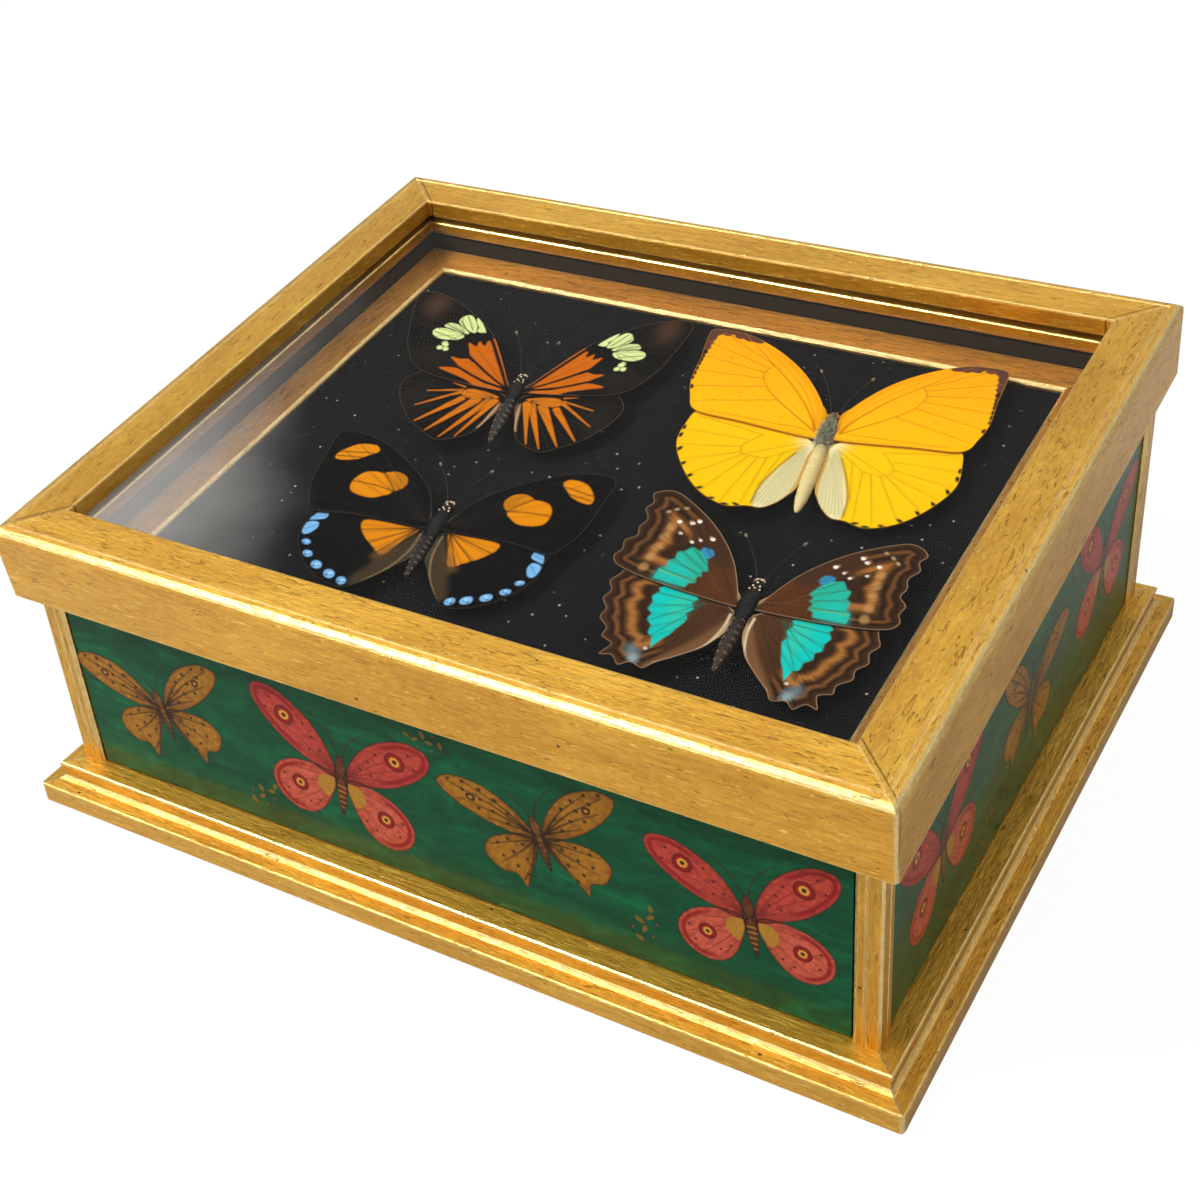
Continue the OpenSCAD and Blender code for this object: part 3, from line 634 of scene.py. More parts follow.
def back_right_hind(d):
    x, y = d.at.T
    d.lay(np.ones(len(x)), (228, 180, 0))
    d.lay(np.clip((x - 18) / 18, 0, 1) * 0.4, (236, 170, 0))
    tint = (178, 128, 0)
    d.strokes((
        [(3, -2), (9, -6), (16.5, -11.6)], [(3, -3), (8, -8), (11, -11)],
        [(16.5, -11.6), (17.5, -8.6), (14, -3)],
        [(11, -11), (13.5, -11.6), (16.5, -11.6)],
    ), 0.35, tint, 0.8, strength=0.7, lift=0.08)
    d.strokes((
        ((14, -3), (30, -1)), ((17, -6), (31.8, -7)), ((17.5, -9), (31, -13)), ((17, -11), (29, -18)),
        ((16.5, -11.6), (26, -22.6)), ((15, -11.6), (22, -27)), ((13, -11.4), (17, -29.6)),
        ((11, -11), (12.6, -28.6)), ((8, -8), (10.6, -22)),
    ), 0.3, tint, 0.7, strength=0.8, lift=0.1)
    d.patch([(2.2, -3), (5, -7), (7.6, -14), (9.8, -21.5), (10, -27.5), (8, -30), (4, -25), (1.5, -14)],
            (206, 196, 150), 0.8)
    for k in range(9):
        d.stroke([(3 + k * 0.2, -4), (3.2 + k * 0.85, -27)], 0.22, (160, 148, 100), 1.5, strength=0.6)
    d.stroke([(5.4, -7), (8, -14), (10, -21.5), (10.3, -27.8)], 0.5, (136, 108, 30), 1.2, strength=0.8,
             lift=0.15)
    for px, py, turn in (
        (31.9, -6.4, 4), (31.8, -9.4, 8), (30.6, -14.4, 20), (28.4, -19.4, 32), (25.8, -23.2, 40),
        (22.6, -26.6, 52), (19.2, -29.2, 66), (15.8, -30.1, 84), (13.2, -29.4, 110),
    ):
        d.spot(px, py, 0.46, (26, 20, 10), 2.2, turn)
    d.lay(np.exp(-((np.hypot(x - 3, y + 2)) / 2.5) ** 2) * 0.6, (236, 230, 190))


def front_left_fore(d):
    orange = (200, 122, 0)
    d.patch([(23.2, 20.6), (24.6, 22.2), (27.2, 22), (29.6, 20.4), (31.6, 17.4), (32, 15), (30.6, 14.4),
             (27.4, 15.6), (24.8, 18.2)], orange, 0.3)
    d.patch([(13.2, 8.8), (12.2, 11.2), (13.2, 13.8), (15.6, 14.8), (18.2, 13.8), (19, 11.6), (17.4, 9.4),
             (15.2, 8)], orange, 0.3)
    d.patch([(14.2, 8), (16, 11.6), (19.4, 13.2), (22.4, 12.6), (24.2, 9.8), (24.2, 6.2), (22.4, 4.2),
             (18.8, 3.9), (15.8, 5.6)], orange, 0.3)
    d.strokes(([(13.8, 8), (16, 10.6), (19, 13.6)], [(14, 7.8), (19, 8.6), (24.6, 8.2)],
               [(24, 19.4), (31.4, 17.4)], [(26, 17), (31.6, 15.6)]), 0.34, (70, 32, 4), strength=0.95)
    d.veins((3, 1), ((16, 9), (27, 25), (33, 25), (34.8, 20), (34.2, 13), (33.4, 6), (31.5, 0), (28, -4)),
            0.28, (36, 33, 29), 0.8, strength=0.5, lift=0.08)
    d.patch([(4, 3), (9, 11), (18, 18), (14, 8), (5, 1)], (26, 22, 20), 3, strength=0.3)


def front_left_hind(d):
    orange = (198, 120, 2)
    d.patch([(3.8, -1.4), (8, -1.4), (12, -2), (16.2, -2.8), (16.4, -5.2), (14, -8.4), (11, -10.8),
             (8.8, -12.6), (7.2, -11.4), (5.4, -6.4)], orange, 0.35)
    d.lay(cover(line_distance(d.at, [(6.8, -9.5), (9, -13.4)])[0] - 1.2, 2.0) * 0.6, (104, 74, 44))
    d.veins((4, -1.6), ((12.4, -9.8), (9.6, -12.4), (16.4, -6.6), (7.4, -12.8)), 0.36, (60, 32, 12),
            strength=0.9, lift=0.08)
    d.patch([(2.4, -3), (4.6, -5.4), (6.8, -10.6), (9.6, -17), (11.6, -22.6), (9, -23.6), (4.4, -17),
             (1.8, -9)], (66, 53, 35), 1.6, strength=0.7)
    d.stroke([(2.7, -3), (2.9, -9), (5, -16), (8.6, -22)], 0.5, (120, 102, 72), 0.6, strength=0.9)
    blue, pale = (108, 160, 208), (146, 188, 224)
    d.patch([(25.2, -3.6), (27, -3.4), (28.2, -7), (26.8, -6.8), (25, -5.6)], blue, 0.25)
    d.patch([(26, -7.4), (28.2, -8.2), (28, -11.6), (26.6, -12), (25.4, -9.4)], blue, 0.25)
    for x, y, r in ((25.6, -14.4, 0.85), (23.6, -17.9, 1.0), (20.2, -20.6, 1.15), (16.3, -22.4, 1.2),
                    (12.9, -23.5, 1.05)):
        d.spot(x, y, r, blue, 1.25, -math.degrees(math.atan2(x, -y)))
        d.spot(x - 0.2, y + 0.2, r * 0.45, pale)
        d.spot(x + 0.45, y - 0.5, 0.3, (50, 84, 124))
        d.spot(x - 0.5, y - 0.2, 0.2, (60, 96, 136))
    d.stroke([(25.4, -4.6), (27.6, -6)], 0.22, (60, 96, 130), strength=0.8)
    d.stroke([(26, -8.4), (27.8, -10.6)], 0.22, (60, 96, 130), strength=0.8)
    d.veins((4, -2), ((25, -2), (28.4, -7.2), (28, -13), (24.6, -19), (19, -23.4), (14, -24.8)), 0.26,
            (34, 31, 27), 0.8, strength=0.45, lift=0.08)


def bands(d, shape, marks, where):
    """Lines that follow the margin at set distances from it."""
    depth = -inside(d.at, shape)
    ray = np.arctan2(d.at[:, 1], d.at[:, 0] + 4)
    wave = 0.9 * np.abs(np.sin(ray * 14)) - 0.6 + 0.16 * np.sin(ray * 170) + 0.12 * np.sin(ray * 67)
    for at_depth, width, colour, strength in marks:
        mask = np.exp(-(((depth + wave * min(1, at_depth / 5) - at_depth) / width) ** 2))
        d.lay(mask * where * strength, colour)


def front_right_fore(d):
    x, y = d.at.T
    d.lay(np.clip((12 - np.hypot(x - 6, y - 5)) / 9, 0, 1) * 0.8, (84, 46, 20))
    d.lay(np.clip((x - 19) / 8, 0, 1) * 0.35, (44, 27, 16))
    outer = np.clip((x - 17.5) / 3, 0, 1)
    light, dark, tan = (160, 102, 46), (20, 12, 7), (116, 74, 36)
    bands(
        d, smooth(OUTLINES["front_right"][0]),
        [(1.6, 0.5, dark, 0.8), (2.6, 0.45, tan, 0.7), (3.8, 0.5, dark, 0.8), (6.2, 1.1, light, 0.85),
         (8.6, 0.9, dark, 0.6)], outer)
    for k in range(5):
        d.spot(24.2 - 0.2 * k, 2.6 + 3.6 * k, 1.0, (176, 132, 82), 1.3, 10, 0.8, 0.6)
    d.patch([(6.5, 10.5), (9, 14.5), (11, 16.5), (12, 13), (9.6, 9.2)], (56, 36, 24), 1.0, strength=0.7)
    d.patch([(16, 14.4), (18.4, 13.6), (19.8, 11.4), (18.6, 10), (16.6, 12)], (44, 28, 20), 0.8,
            strength=0.9)
    teal = (30, 160, 138)
    d.patch([(11.8, 12.2), (12.8, 13.6), (14.6, 13.4), (14.8, 12), (13.4, 10.4), (12.2, 10.8)],
            (44, 122, 160), 0.4)
    d.patch([(12.4, 9.8), (14.4, 12), (16.8, 12.8), (18, 10.8), (19.2, 10), (19, 7.6), (20, 6.8),
             (19.8, 4.4), (21, 3.4), (21.1, 0.2), (14, 0.2), (13.6, 1.8), (12.4, 2.2), (12.8, 4.2),
             (11.8, 4.8), (12.4, 6), (11.2, 6.8)], teal, 0.35, False)
    d.patch([(15, 0.5), (20.6, 0.5), (20, 4), (17.6, 7), (15.6, 5)], (18, 176, 176), 3, strength=0.5)
    d.stroke([(12.5, 2.6), (20.6, 3)], 0.5, (96, 160, 84), strength=0.6)
    d.strokes(([(11.4, 6.8), (18, 10.4)], [(12, 5.2), (19.6, 6.8)], [(12.6, 3), (20.6, 3.6)],
               [(13, 9), (16, 12.6)]), 0.22, (52, 92, 72), strength=0.8, lift=0.08)
    for px, py, r in ((18.4, 21.2, 0.5), (19.6, 20, 0.55), (22.4, 19.4, 0.5), (13.8, 16.8, 0.55),
                      (16, 15.4, 0.35), (20.8, 15.8, 0.4), (17.6, 14.2, 0.4)):
        d.spot(px, py, r, (240, 228, 210))
        d.spot(px + 0.5, py + 0.5, r * 0.8, (176, 120, 84), strength=0.6)
    d.spots(((22.6, 24.2), (24.4, 23), (25.8, 21.6)), 0.32, (196, 164, 126), 1.6, 40, 0.5, 0.8)
    d.veins((3.4, 1.2), ((12, 14.5), (20, 24.5), (26, 27.4), (29.6, 23), (29.4, 17), (29.6, 11.6),
                         (30.6, 5)), 0.3, (48, 30, 20), 0.8, strength=0.55, lift=0.1)
    d.stroke([(3, 1.6), (8, 3), (10.6, 6.4)], 0.4, (104, 70, 44), 0.6, strength=0.5)


def front_right_hind(d):
    x, y = d.at.T
    shape = smooth(OUTLINES["front_right"][1])
    d.lay(np.clip((12 - np.hypot(x - 4, y + 3)) / 10, 0, 1) * 0.7, (78, 48, 26))
    outer = np.clip((x - 0.45 * y - 19) / 3, 0, 1)
    light, dark, tan = (162, 106, 48), (20, 12, 7), (118, 76, 38)
    bands(d, shape, [(1.5, 0.45, dark, 0.85), (2.5, 0.45, tan, 0.8), (3.7, 0.5, dark, 0.8),
                     (5.6, 1.0, light, 0.8), (7.8, 1.0, dark, 0.7)], outer)
    teal = (6, 176, 168)
    d.patch([(10.4, -1.4), (12.4, 0.4), (17.4, 0.4), (19, -1.6), (18.4, -2.4), (19.4, -4.4), (18.6, -6.2),
             (18.8, -8.4), (17.6, -9.2), (17.8, -11.4), (16.4, -12.6), (16.2, -15), (15, -15.8),
             (14.2, -18.8), (13, -15.6), (12, -13.8), (11, -10.6), (10.3, -8.2), (11, -6.6), (10.2, -4.6),
             (11, -3.2)], teal, 0.35, False)
    d.patch([(11, -2), (14, -0.4), (15, -6), (13, -12), (11.4, -9)], (60, 176, 132), 2.5, strength=0.4)
    d.veins((8.5, -2.2), ((19.2, -3), (18.6, -7.6), (17.6, -11.6), (15.6, -16)), 0.24, (40, 84, 72),
            strength=0.8, lift=0.08)
    d.spot(17, -21.4, 1.3, (104, 128, 138), 1.5, -40, 1.8, 0.7)
    d.spot(16.2, -23.2, 1.0, (150, 170, 176), 1.2, -40, 1.2, 0.6)
    d.spot(15, -19.4, 0.4, (196, 190, 180))
    d.patch([(2.4, -5), (4.4, -8), (7.4, -14), (11, -19.6), (13.8, -24), (11.6, -23.4), (6.6, -18),
             (2, -10)], (120, 84, 54), 1.4, strength=0.7)
    d.stroke([(2.6, -3), (2.7, -8), (4.6, -14.4), (8.8, -19.6), (11.8, -22.4)], 0.6, (206, 184, 152), 0.6,
             strength=0.9)
    for k in range(12):
        d.stroke([(3.4, -3 - 0.1 * k), (4.5 + k * 0.8, -16 - 0.25 * k)], 0.16, (70, 46, 30), strength=0.4)
    d.veins((3.6, -2.4), ((26.6, 3.4), (28.6, -3.4), (27.6, -9), (26, -14.4), (23.6, -19.4), (22, -24),
                          (15.6, -24)), 0.28, (44, 28, 18), 0.8, strength=0.5, lift=0.1)


# Outlines of the right forewing and hindwing of each butterfly
OUTLINES = {
    "back_left": (
        [(2.5, 1.5), (7.5, 12), (13.5, 22.5), (22.5, 31), (29, 35), (34.5, 36), (37, 33), (35.5, 23),
         (32.5, 11.5), (27.5, 3), (20, 0), (2.5, -1)],
        [(14, 5), (22.5, 4.5), (28, -2), (27.5, -8.5), (22.5, -17), (17, -21.5), (12.5, -23.5),
         (5.5, -18.5), (2.5, -7), (2.5, -2)],
    ),
    "back_right": (
        [(2.5, 2.5), (3, 11), (9.5, 22), (17.5, 29.5), (26, 34), (32, 34.5), (36, 33.5), (36.5, 30),
         (35.8, 21), (35.5, 12), (34, 5.5), (31, 0), (20, -0.5), (2.5, -1)],
        [(14, 4), (24, 2.5), (30.5, 1), (32, -4), (32, -12.5), (28, -21), (22.5, -27.5), (16, -30.5),
         (11, -29), (7, -28), (3, -21), (2.5, -8), (2.5, -2)],
    ),
    "front_left": (
        [(2.5, 2), (7, 12), (17.5, 21), (25.5, 25), (31.5, 25.5), (35, 23.5), (34.5, 15), (33.5, 5),
         (31, -1.5), (28.5, -4.5), (18.5, -2.5), (2.5, -1.5)],
        [(14, 2), (24, -1), (28.5, -2), (28.5, -7), (28.5, -12.5), (24.5, -19.5), (19, -24), (12.5, -25.5),
         (8.5, -22), (3, -13), (2.5, -6), (2.5, -2)],
    ),
    "front_right": (
        [(2.5, 1.5), (7.5, 12.5), (15, 21.5), (24, 27.7), (28, 28.5), (31, 26), (30, 23.2), (30.8, 20.5),
         (29.2, 17.5), (29.8, 14.2), (29.2, 11.5), (31, 9), (30.5, 6), (31.3, 3.5), (29, 0.8), (20, -0.7),
         (2.5, -1)],
        [(14, 5), (26, 4.5), (27.5, 1.5), (28.3, -1), (29.3, -3.6), (28, -6.2), (28.6, -9.2), (26.8, -11.8),
         (27, -14.6), (24.6, -17), (24.5, -19.6), (21.9, -21), (23, -24.6), (20.5, -24), (18.4, -26),
         (16.4, -24.3), (13.5, -24.9), (11.7, -22.3), (8.5, -19), (4, -13.5), (2.5, -7.5), (2.5, -2)],
    ),
}
# Place in the lid plane, tips of the antennae, turn, the wings' colours and painters, the body's
# measures and colours
BUTTERFLIES = {
    "back_left": dict(
        at=(-33.7, -70.2), tips=((-7.5, 24.5), (5.5, 21)), turn=13.5, ground=(10, 9, 7),
        paint=(back_left_fore, back_left_hind), margin=(88, 70, 54),
        head=5.5, tail=-21.5, belly=4.4, skin=(6, 5, 5), mark=(226, 214, 186), tip=(150, 130, 110),
        hair=(14, 12, 11)),
    "back_right": dict(
        at=(44.8, -62.2), tips=((-7, 25.5), (6.5, 24)), turn=10.5, ground=(235, 170, 0),
        paint=(back_right_fore, back_right_hind), margin=(176, 124, 6),
        head=8.5, tail=-28.0, belly=4.6, skin=(92, 94, 78), mark=(214, 126, 30), tip=(216, 196, 138),
        hair=(236, 232, 206)),
    "front_left": dict(
        at=(-22.7, -123.5), tips=((-8, 21.5), (6, 21)), turn=10.0, ground=(6, 5, 5),
        paint=(front_left_fore, front_left_hind), margin=(62, 56, 48),
        head=7.5, tail=-18.0, belly=4.2, skin=(6, 5, 5), mark=(232, 204, 170), tip=(120, 104, 84),
        hair=(16, 13, 11)),
    "front_right": dict(
        at=(53.8, -122.6), tips=((-8, 21.5), (6, 22)), turn=6.0, ground=(60, 36, 19),
        paint=(front_right_fore, front_right_hind), margin=(166, 140, 108),
        head=7.5, tail=-20.5, belly=4.4, skin=(8, 7, 6), mark=(214, 192, 158), tip=(176, 130, 92),
        hair=(24, 17, 12)),
}


def wing_place(points, kind, side, which):
    """Wing points (x outward, y forward, height) to the row frame, as the solids are placed."""
    x, y, h = np.asarray(points, float).T
    a = math.radians(RISE - side * ROLL)
    u = x - ROOT_X
    along = u * math.cos(a) - h * math.sin(a)
    up = u * math.sin(a) + h * math.cos(a)
    return set_down(np.column_stack([side * (ROOT_X + along), y, up]), kind,
                    (FORE_LEVEL, HIND_LEVEL)[which])


# The wings' roots are drawn out to meet the body
ROOT_FROM, ROOT_STRETCH, ROOT_END = 3.4, 1.9, 1.6


def wing_pair(name, kind, which):
    """Both fore- or hindwings of a butterfly as one painted mesh."""
    shape = smooth(OUTLINES[name][which], 10) * INSECT_SCALE
    root = shape[:, 0] < ROOT_FROM
    shape[root, 0] = ROOT_FROM - (ROOT_FROM - shape[root, 0]) * ROOT_STRETCH
    shape[:, 0] = np.maximum(shape[:, 0], ROOT_END)
    shape = shape[np.hypot(*(shape - np.roll(shape, 1, 0)).T) > 0.02]
    flat, faces = grid_mesh(shape, WING_STEP)
    d = Drawing(flat / INSECT_SCALE, kind["ground"])
    kind["paint"][which](d)
    depth = -inside(d.at, smooth(OUTLINES[name][which]))
    ray = np.arctan2(d.at[:, 1], d.at[:, 0] - 1)
    silk = 1 + 0.06 * np.sin(ray * 160) * np.clip(np.hypot(*d.at.T) / 20, 0, 1)
    d.colour *= silk[:, None]
    d.lay(cover(depth - 0.14, 0.22) * 0.75, kind["margin"])
    lift = d.lift + 0.04 * np.sin(ray * 42)
    lift *= np.clip(depth / 1.5, 0, 1)
    n, rim = len(flat), len(shape)
    top = np.column_stack([flat, WING_T + lift])
    low = np.column_stack([shape, np.zeros(rim)])
    under = np.array(rgb(*kind["ground"])) * 0.8
    shell = faces + [(i, n + i, n + (i + 1) % rim, (i + 1) % rim) for i in range(rim)]
    shell.append(tuple(n + i for i in range(rim))[::-1])
    points, colours, all_faces = [], [], []
    for side in (-1, 1):
        base = len(points)
        points.extend(wing_place(np.vstack([top, low]), kind, side, which).tolist())
        colours.extend(np.vstack([d.colour, np.tile(under, (rim, 1))]).tolist())
        all_faces += [tuple(base + i for i in f[::side]) for f in shell]
    part = ("forewings", "hindwings")[which]
    made = make_mesh(f"{name}_{part}_scaled", points, all_faces, np.array(colours))
    made.data.materials.append(WING_SCALES)
    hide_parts(f"{name}_{part}")
    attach(made, "case")


WAIST, SEGMENTS = -4.0, 8


def body_radius(kind, y):
    """Radius of the body at y, from the tail to the head, with the grooves of its segments."""
    head, tail, belly = kind["head"] * INSECT_SCALE, kind["tail"] * INSECT_SCALE, kind["belly"] * 0.8
    neck, chest = head - 2.2, 2.2
    ys = [tail, tail + 0.3, tail + 2.2, tail + 5, (tail + WAIST) / 2, WAIST - 2.2, WAIST, WAIST + 1.6,
          WAIST + 3, 0, neck - 2, neck - 0.8, neck, neck + 0.7, neck + 1.7, neck + 2.6, neck + 3.2,
          neck + 3.4]
    rs = [0.02, 0.5, belly * 0.28, belly * 0.4, belly / 2, belly * 0.46, belly * 0.4, chest * 0.86,
          chest * 0.98, chest, chest * 0.94, chest * 0.74, 0.85, 1.2, 1.4, 1.25, 0.75, 0.02]
    r = np.interp(y, ys, rs)
    phase = (y - WAIST) / (tail - WAIST) * SEGMENTS
    groove = np.where(y < WAIST - 0.3, 0.08 * np.abs(np.cos(np.pi * phase)) ** 8, 0)
    return r * (1 - groove)


def ball(centre, r, colour, points, colours, faces, long=1.0, steps=10):
    """Adds a ball to a mesh, long times as long forward as it is wide."""
    x, y, z = centre
    ring = steps * 2
    base = len(points)
    for i in range(steps + 1):
        a = math.pi * i / steps
        for j in range(ring):
            b = math.pi * j / steps
            points.append([x + r * math.sin(a) * math.cos(b), y + r * long * math.cos(a),
                           z + r * math.sin(a) * math.sin(b)])
            colours.append(colour)
    for i in range(steps):
        row, below = base + i * ring, base + (i + 1) * ring
        for j in range(ring):
            k = (j + 1) % ring
            faces.append((row + j, row + k, below + k, below + j))


def sleeve(rows, ring):
    """Faces between rows of points that each go once round."""
    pairs = [(i * ring + j, i * ring + (j + 1) % ring) for i in range(rows - 1) for j in range(ring)]
    return [(a, a + ring, b + ring, b) for a, b in pairs]


def body(name, kind):
    """The insect's body: segmented abdomen, hairy thorax, head with eyes and palps."""
    head, tail = kind["head"] * INSECT_SCALE, kind["tail"] * INSECT_SCALE
    ys = np.concatenate([np.arange(tail, WAIST, 0.14), np.arange(WAIST, head + 1.25, 0.2)])
    ring = 40
    skin, mark, tip = (np.array(rgb(*kind[k])) for k in ("skin", "mark", "tip"))
    points, colours, faces = [], [], sleeve(len(ys), ring)
    pale = name == "back_right"
    for y in ys:
        r = body_radius(kind, y)
        for j in range(ring):
            a = 2 * math.pi * j / ring
            flat = 0.94 if y < WAIST else 1.0
            thorax = -3.6 < y < head - 2.4
            bulge = 1 + 0.035 * math.sin(a * 6 + y * 0.7) * math.sin(y * 1.9) if thorax else 1.0
            points.append([r * bulge * math.cos(a), y, r * bulge * flat * math.sin(a)])
            c = skin.copy()
            if y < WAIST:
                t = min(1, (WAIST - y) / (WAIST - tail))
                t = min(1, 0.5 + 3 * t) if pale else 0.1 * t
                c = skin * (1 - t) + tip * t
                phase = (y - WAIST) / (tail - WAIST) * SEGMENTS % 1
                if not pale and 0.4 < phase < 0.65 and 0.45 < abs(math.cos(a)) < 0.85 and math.sin(a) > 0:
                    c = c * 0.85 + mark * 0.15
            elif pale:
                c = skin * (1.25 if math.sin(a * 5 + y) * math.sin(y * 2.2) > 0.1 else 0.65)
            colours.append(c)
    eye = np.array(rgb(206, 116, 30) if pale else rgb(46, 30, 20))
    for sx in (-1, 1):
        ball((sx * 0.95, head - 0.1, 0.3), 0.68, eye, points, colours, faces)
        ball((sx * 0.45, head + 1.35, 0.1), 0.36, mark * 0.8, points, colours, faces, 2.0, 6)
    if not pale:
        for x, y, z in (
            (0, head - 0.7, 1.35), (-0.75, head - 1.5, 1.0), (0.75, head - 1.5, 1.0),
            (-1.1, head - 2.8, 1.2), (1.1, head - 2.8, 1.2), (0.5, head + 0.5, 1.1),
            (-0.5, head + 0.5, 1.1), (0, head - 2.6, 1.35), (-1.0, head + 0.6, 0.6), (1.0, head + 0.6, 0.6),
        ):
            ball((x, y, z), 0.24, np.array(rgb(252, 226, 190)), points, colours, faces, 1.0, 5)
    hair = np.array(rgb(*kind["hair"]))
    for _ in range(HAIRS):
        y = rng.uniform(-4.2, head - 1.6)
        a = rng.uniform(-0.25, math.pi + 0.25)
        r = body_radius(kind, y) * 0.97
        out = np.array([math.cos(a), rng.uniform(-0.9, 0.1), math.sin(a)])
        out /= np.linalg.norm(out)
        root = np.array([r * math.cos(a), y, r * math.sin(a)])
        side = np.cross(out, rng.normal(size=3))
        side *= 0.035 / np.linalg.norm(side)
        end = root + out * rng.uniform(0.3, 1.1 if pale else 0.8)
        base = len(points)
        points += [list(root - side), list(root + side), list(end)]
        tone = hair * rng.uniform(0.6, 1.5)
        colours += [tone, tone, tone]
        faces.append((base, base + 1, base + 2))
    placed = set_down(np.array(points), kind, AXIS_LEVEL)
    made = make_mesh(f"{name}_body_haired", placed, faces, np.array(colours))
    made.data.materials.append(chitin(f"chitin_{name}", 0.03 if pale else 0.16))
    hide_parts(f"{name}_body")
    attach(made, "case")


def tube(path, radii, ring):
    """Points and faces of a round tube with its own radius at each point of the path."""
    path = np.asarray(path, float)
    step = np.gradient(path, axis=0)
    step /= np.linalg.norm(step, axis=1)[:, None]
    across = np.cross(step, [0, 0, 1])
    across /= np.linalg.norm(across, axis=1)[:, None]
    over = np.cross(across, step)
    points, faces = [], sleeve(len(path), ring)
    for i, centre in enumerate(path):
        for j in range(ring):
            a = 2 * math.pi * j / ring
            points.append(centre + radii[i] * (math.cos(a) * across[i] + math.sin(a) * over[i]))
    last = (len(path) - 1) * ring
    faces += [tuple(range(ring)), tuple(last + j for j in range(ring))[::-1]]
    return np.array(points), faces


def feelers(name, kind):
    """Fine clubbed antennae on the lines of the solid ones."""
    points, faces, colours = [], [], []
    steps, ring = 34, 10
    dark, tip = np.array(rgb(30, 24, 20)), np.array(rgb(150, 122, 92))
    for side, (x, y) in zip((-1, 1), kind["tips"]):
        start = np.array([side * 0.8, kind["head"] * INSECT_SCALE + 0.9, 0.4])
        end = np.array([x, y, 0]) * INSECT_SCALE
        length = np.hypot(*(end - start)[:2])
        end[2] = 0.5 + length * math.tan(math.radians(4))
        t = np.linspace(0, 1, steps)
        path = start + (end - start) * t[:, None]
        path[:, 0] -= side * 0.7 * np.sin(np.pi * t)
        club = np.exp(-(((t - 0.955) / 0.035) ** 2))
        radii = 0.17 - 0.04 * t + 0.27 * club
        radii[-1] = 0.12
        p, f = tube(path, radii, ring)
        base = sum(len(q) for q in points)
        points.append(p)
        faces += [tuple(base + i for i in q) for q in f]
        shade = np.repeat(club, ring)[:, None]
        band = np.repeat(0.75 + 0.5 * (np.arange(steps) % 2), ring)[:, None]
        colours.append(dark * band * (1 - shade) + tip * shade)
    placed = set_down(np.vstack(points), kind, AXIS_LEVEL)
    made = make_mesh(f"{name}_feelers", placed, faces, np.vstack(colours))
    made.data.materials.append(chitin(f"feeler_{name}", 0.1))
    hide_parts(f"{name}_antennae")
    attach(made, "case")


# Painted panels: a generic design of spread moths and sprigs


def cloud(at, size, seed):
    """Smooth random values about 0 with features of the given size."""
    pick = np.random.default_rng(seed)
    total = np.zeros(len(at))
    for _ in range(14):
        a = pick.uniform(0, 2 * math.pi)
        wave = 2 * math.pi / (size * pick.uniform(0.7, 1.8))
        total += np.sin(at @ [math.cos(a), math.sin(a)] * wave + pick.uniform(0, 6.3))
    return total / 3.7


def mirrored(shape):
    return shape[::-1] * [-1, 1]


def rib(d, s, root, ends, bend, width, ink):
    """Bent veins of the wings on side s."""
    for x, y in ends:
        d.stroke([(s * root[0], root[1]), (s * x * 0.5, y * bend), (s * x, y)], width, ink, 0.4)


def dots(d, s, places, r, ink):
    d.spots([(s * x, y) for x, y in places], r, ink)


def shade_wing(d, shape, tone, dark, root, reach):
    """A wing filled with its tone, darker at the root and along the rim, and mottled."""
    gap = inside(d.at, shape)
    fill = cover(gap, 0.3)
    d.lay(fill, tone)
    near = np.exp(-((np.hypot(*(d.at - root).T) / reach) ** 2))
    d.lay(fill * near * 0.75, dark)
    d.lay(fill * np.exp(gap / 1.1) * 0.55, dark)
    d.lay(fill * np.clip(cloud(d.at, 2.6, 5), 0, 1) * 0.38, dark)
    d.lay(fill * np.clip(cloud(d.at, 1.6, 9) - 0.3, 0, 1) * 0.35, tuple(min(255, 1.22 * v) for v in tone))


def outline_of(d, shapes, ink, width=0.5):
    for shape in shapes:
        d.lay(cover(np.abs(inside(d.at, shape)) - width / 2, 0.3), ink)


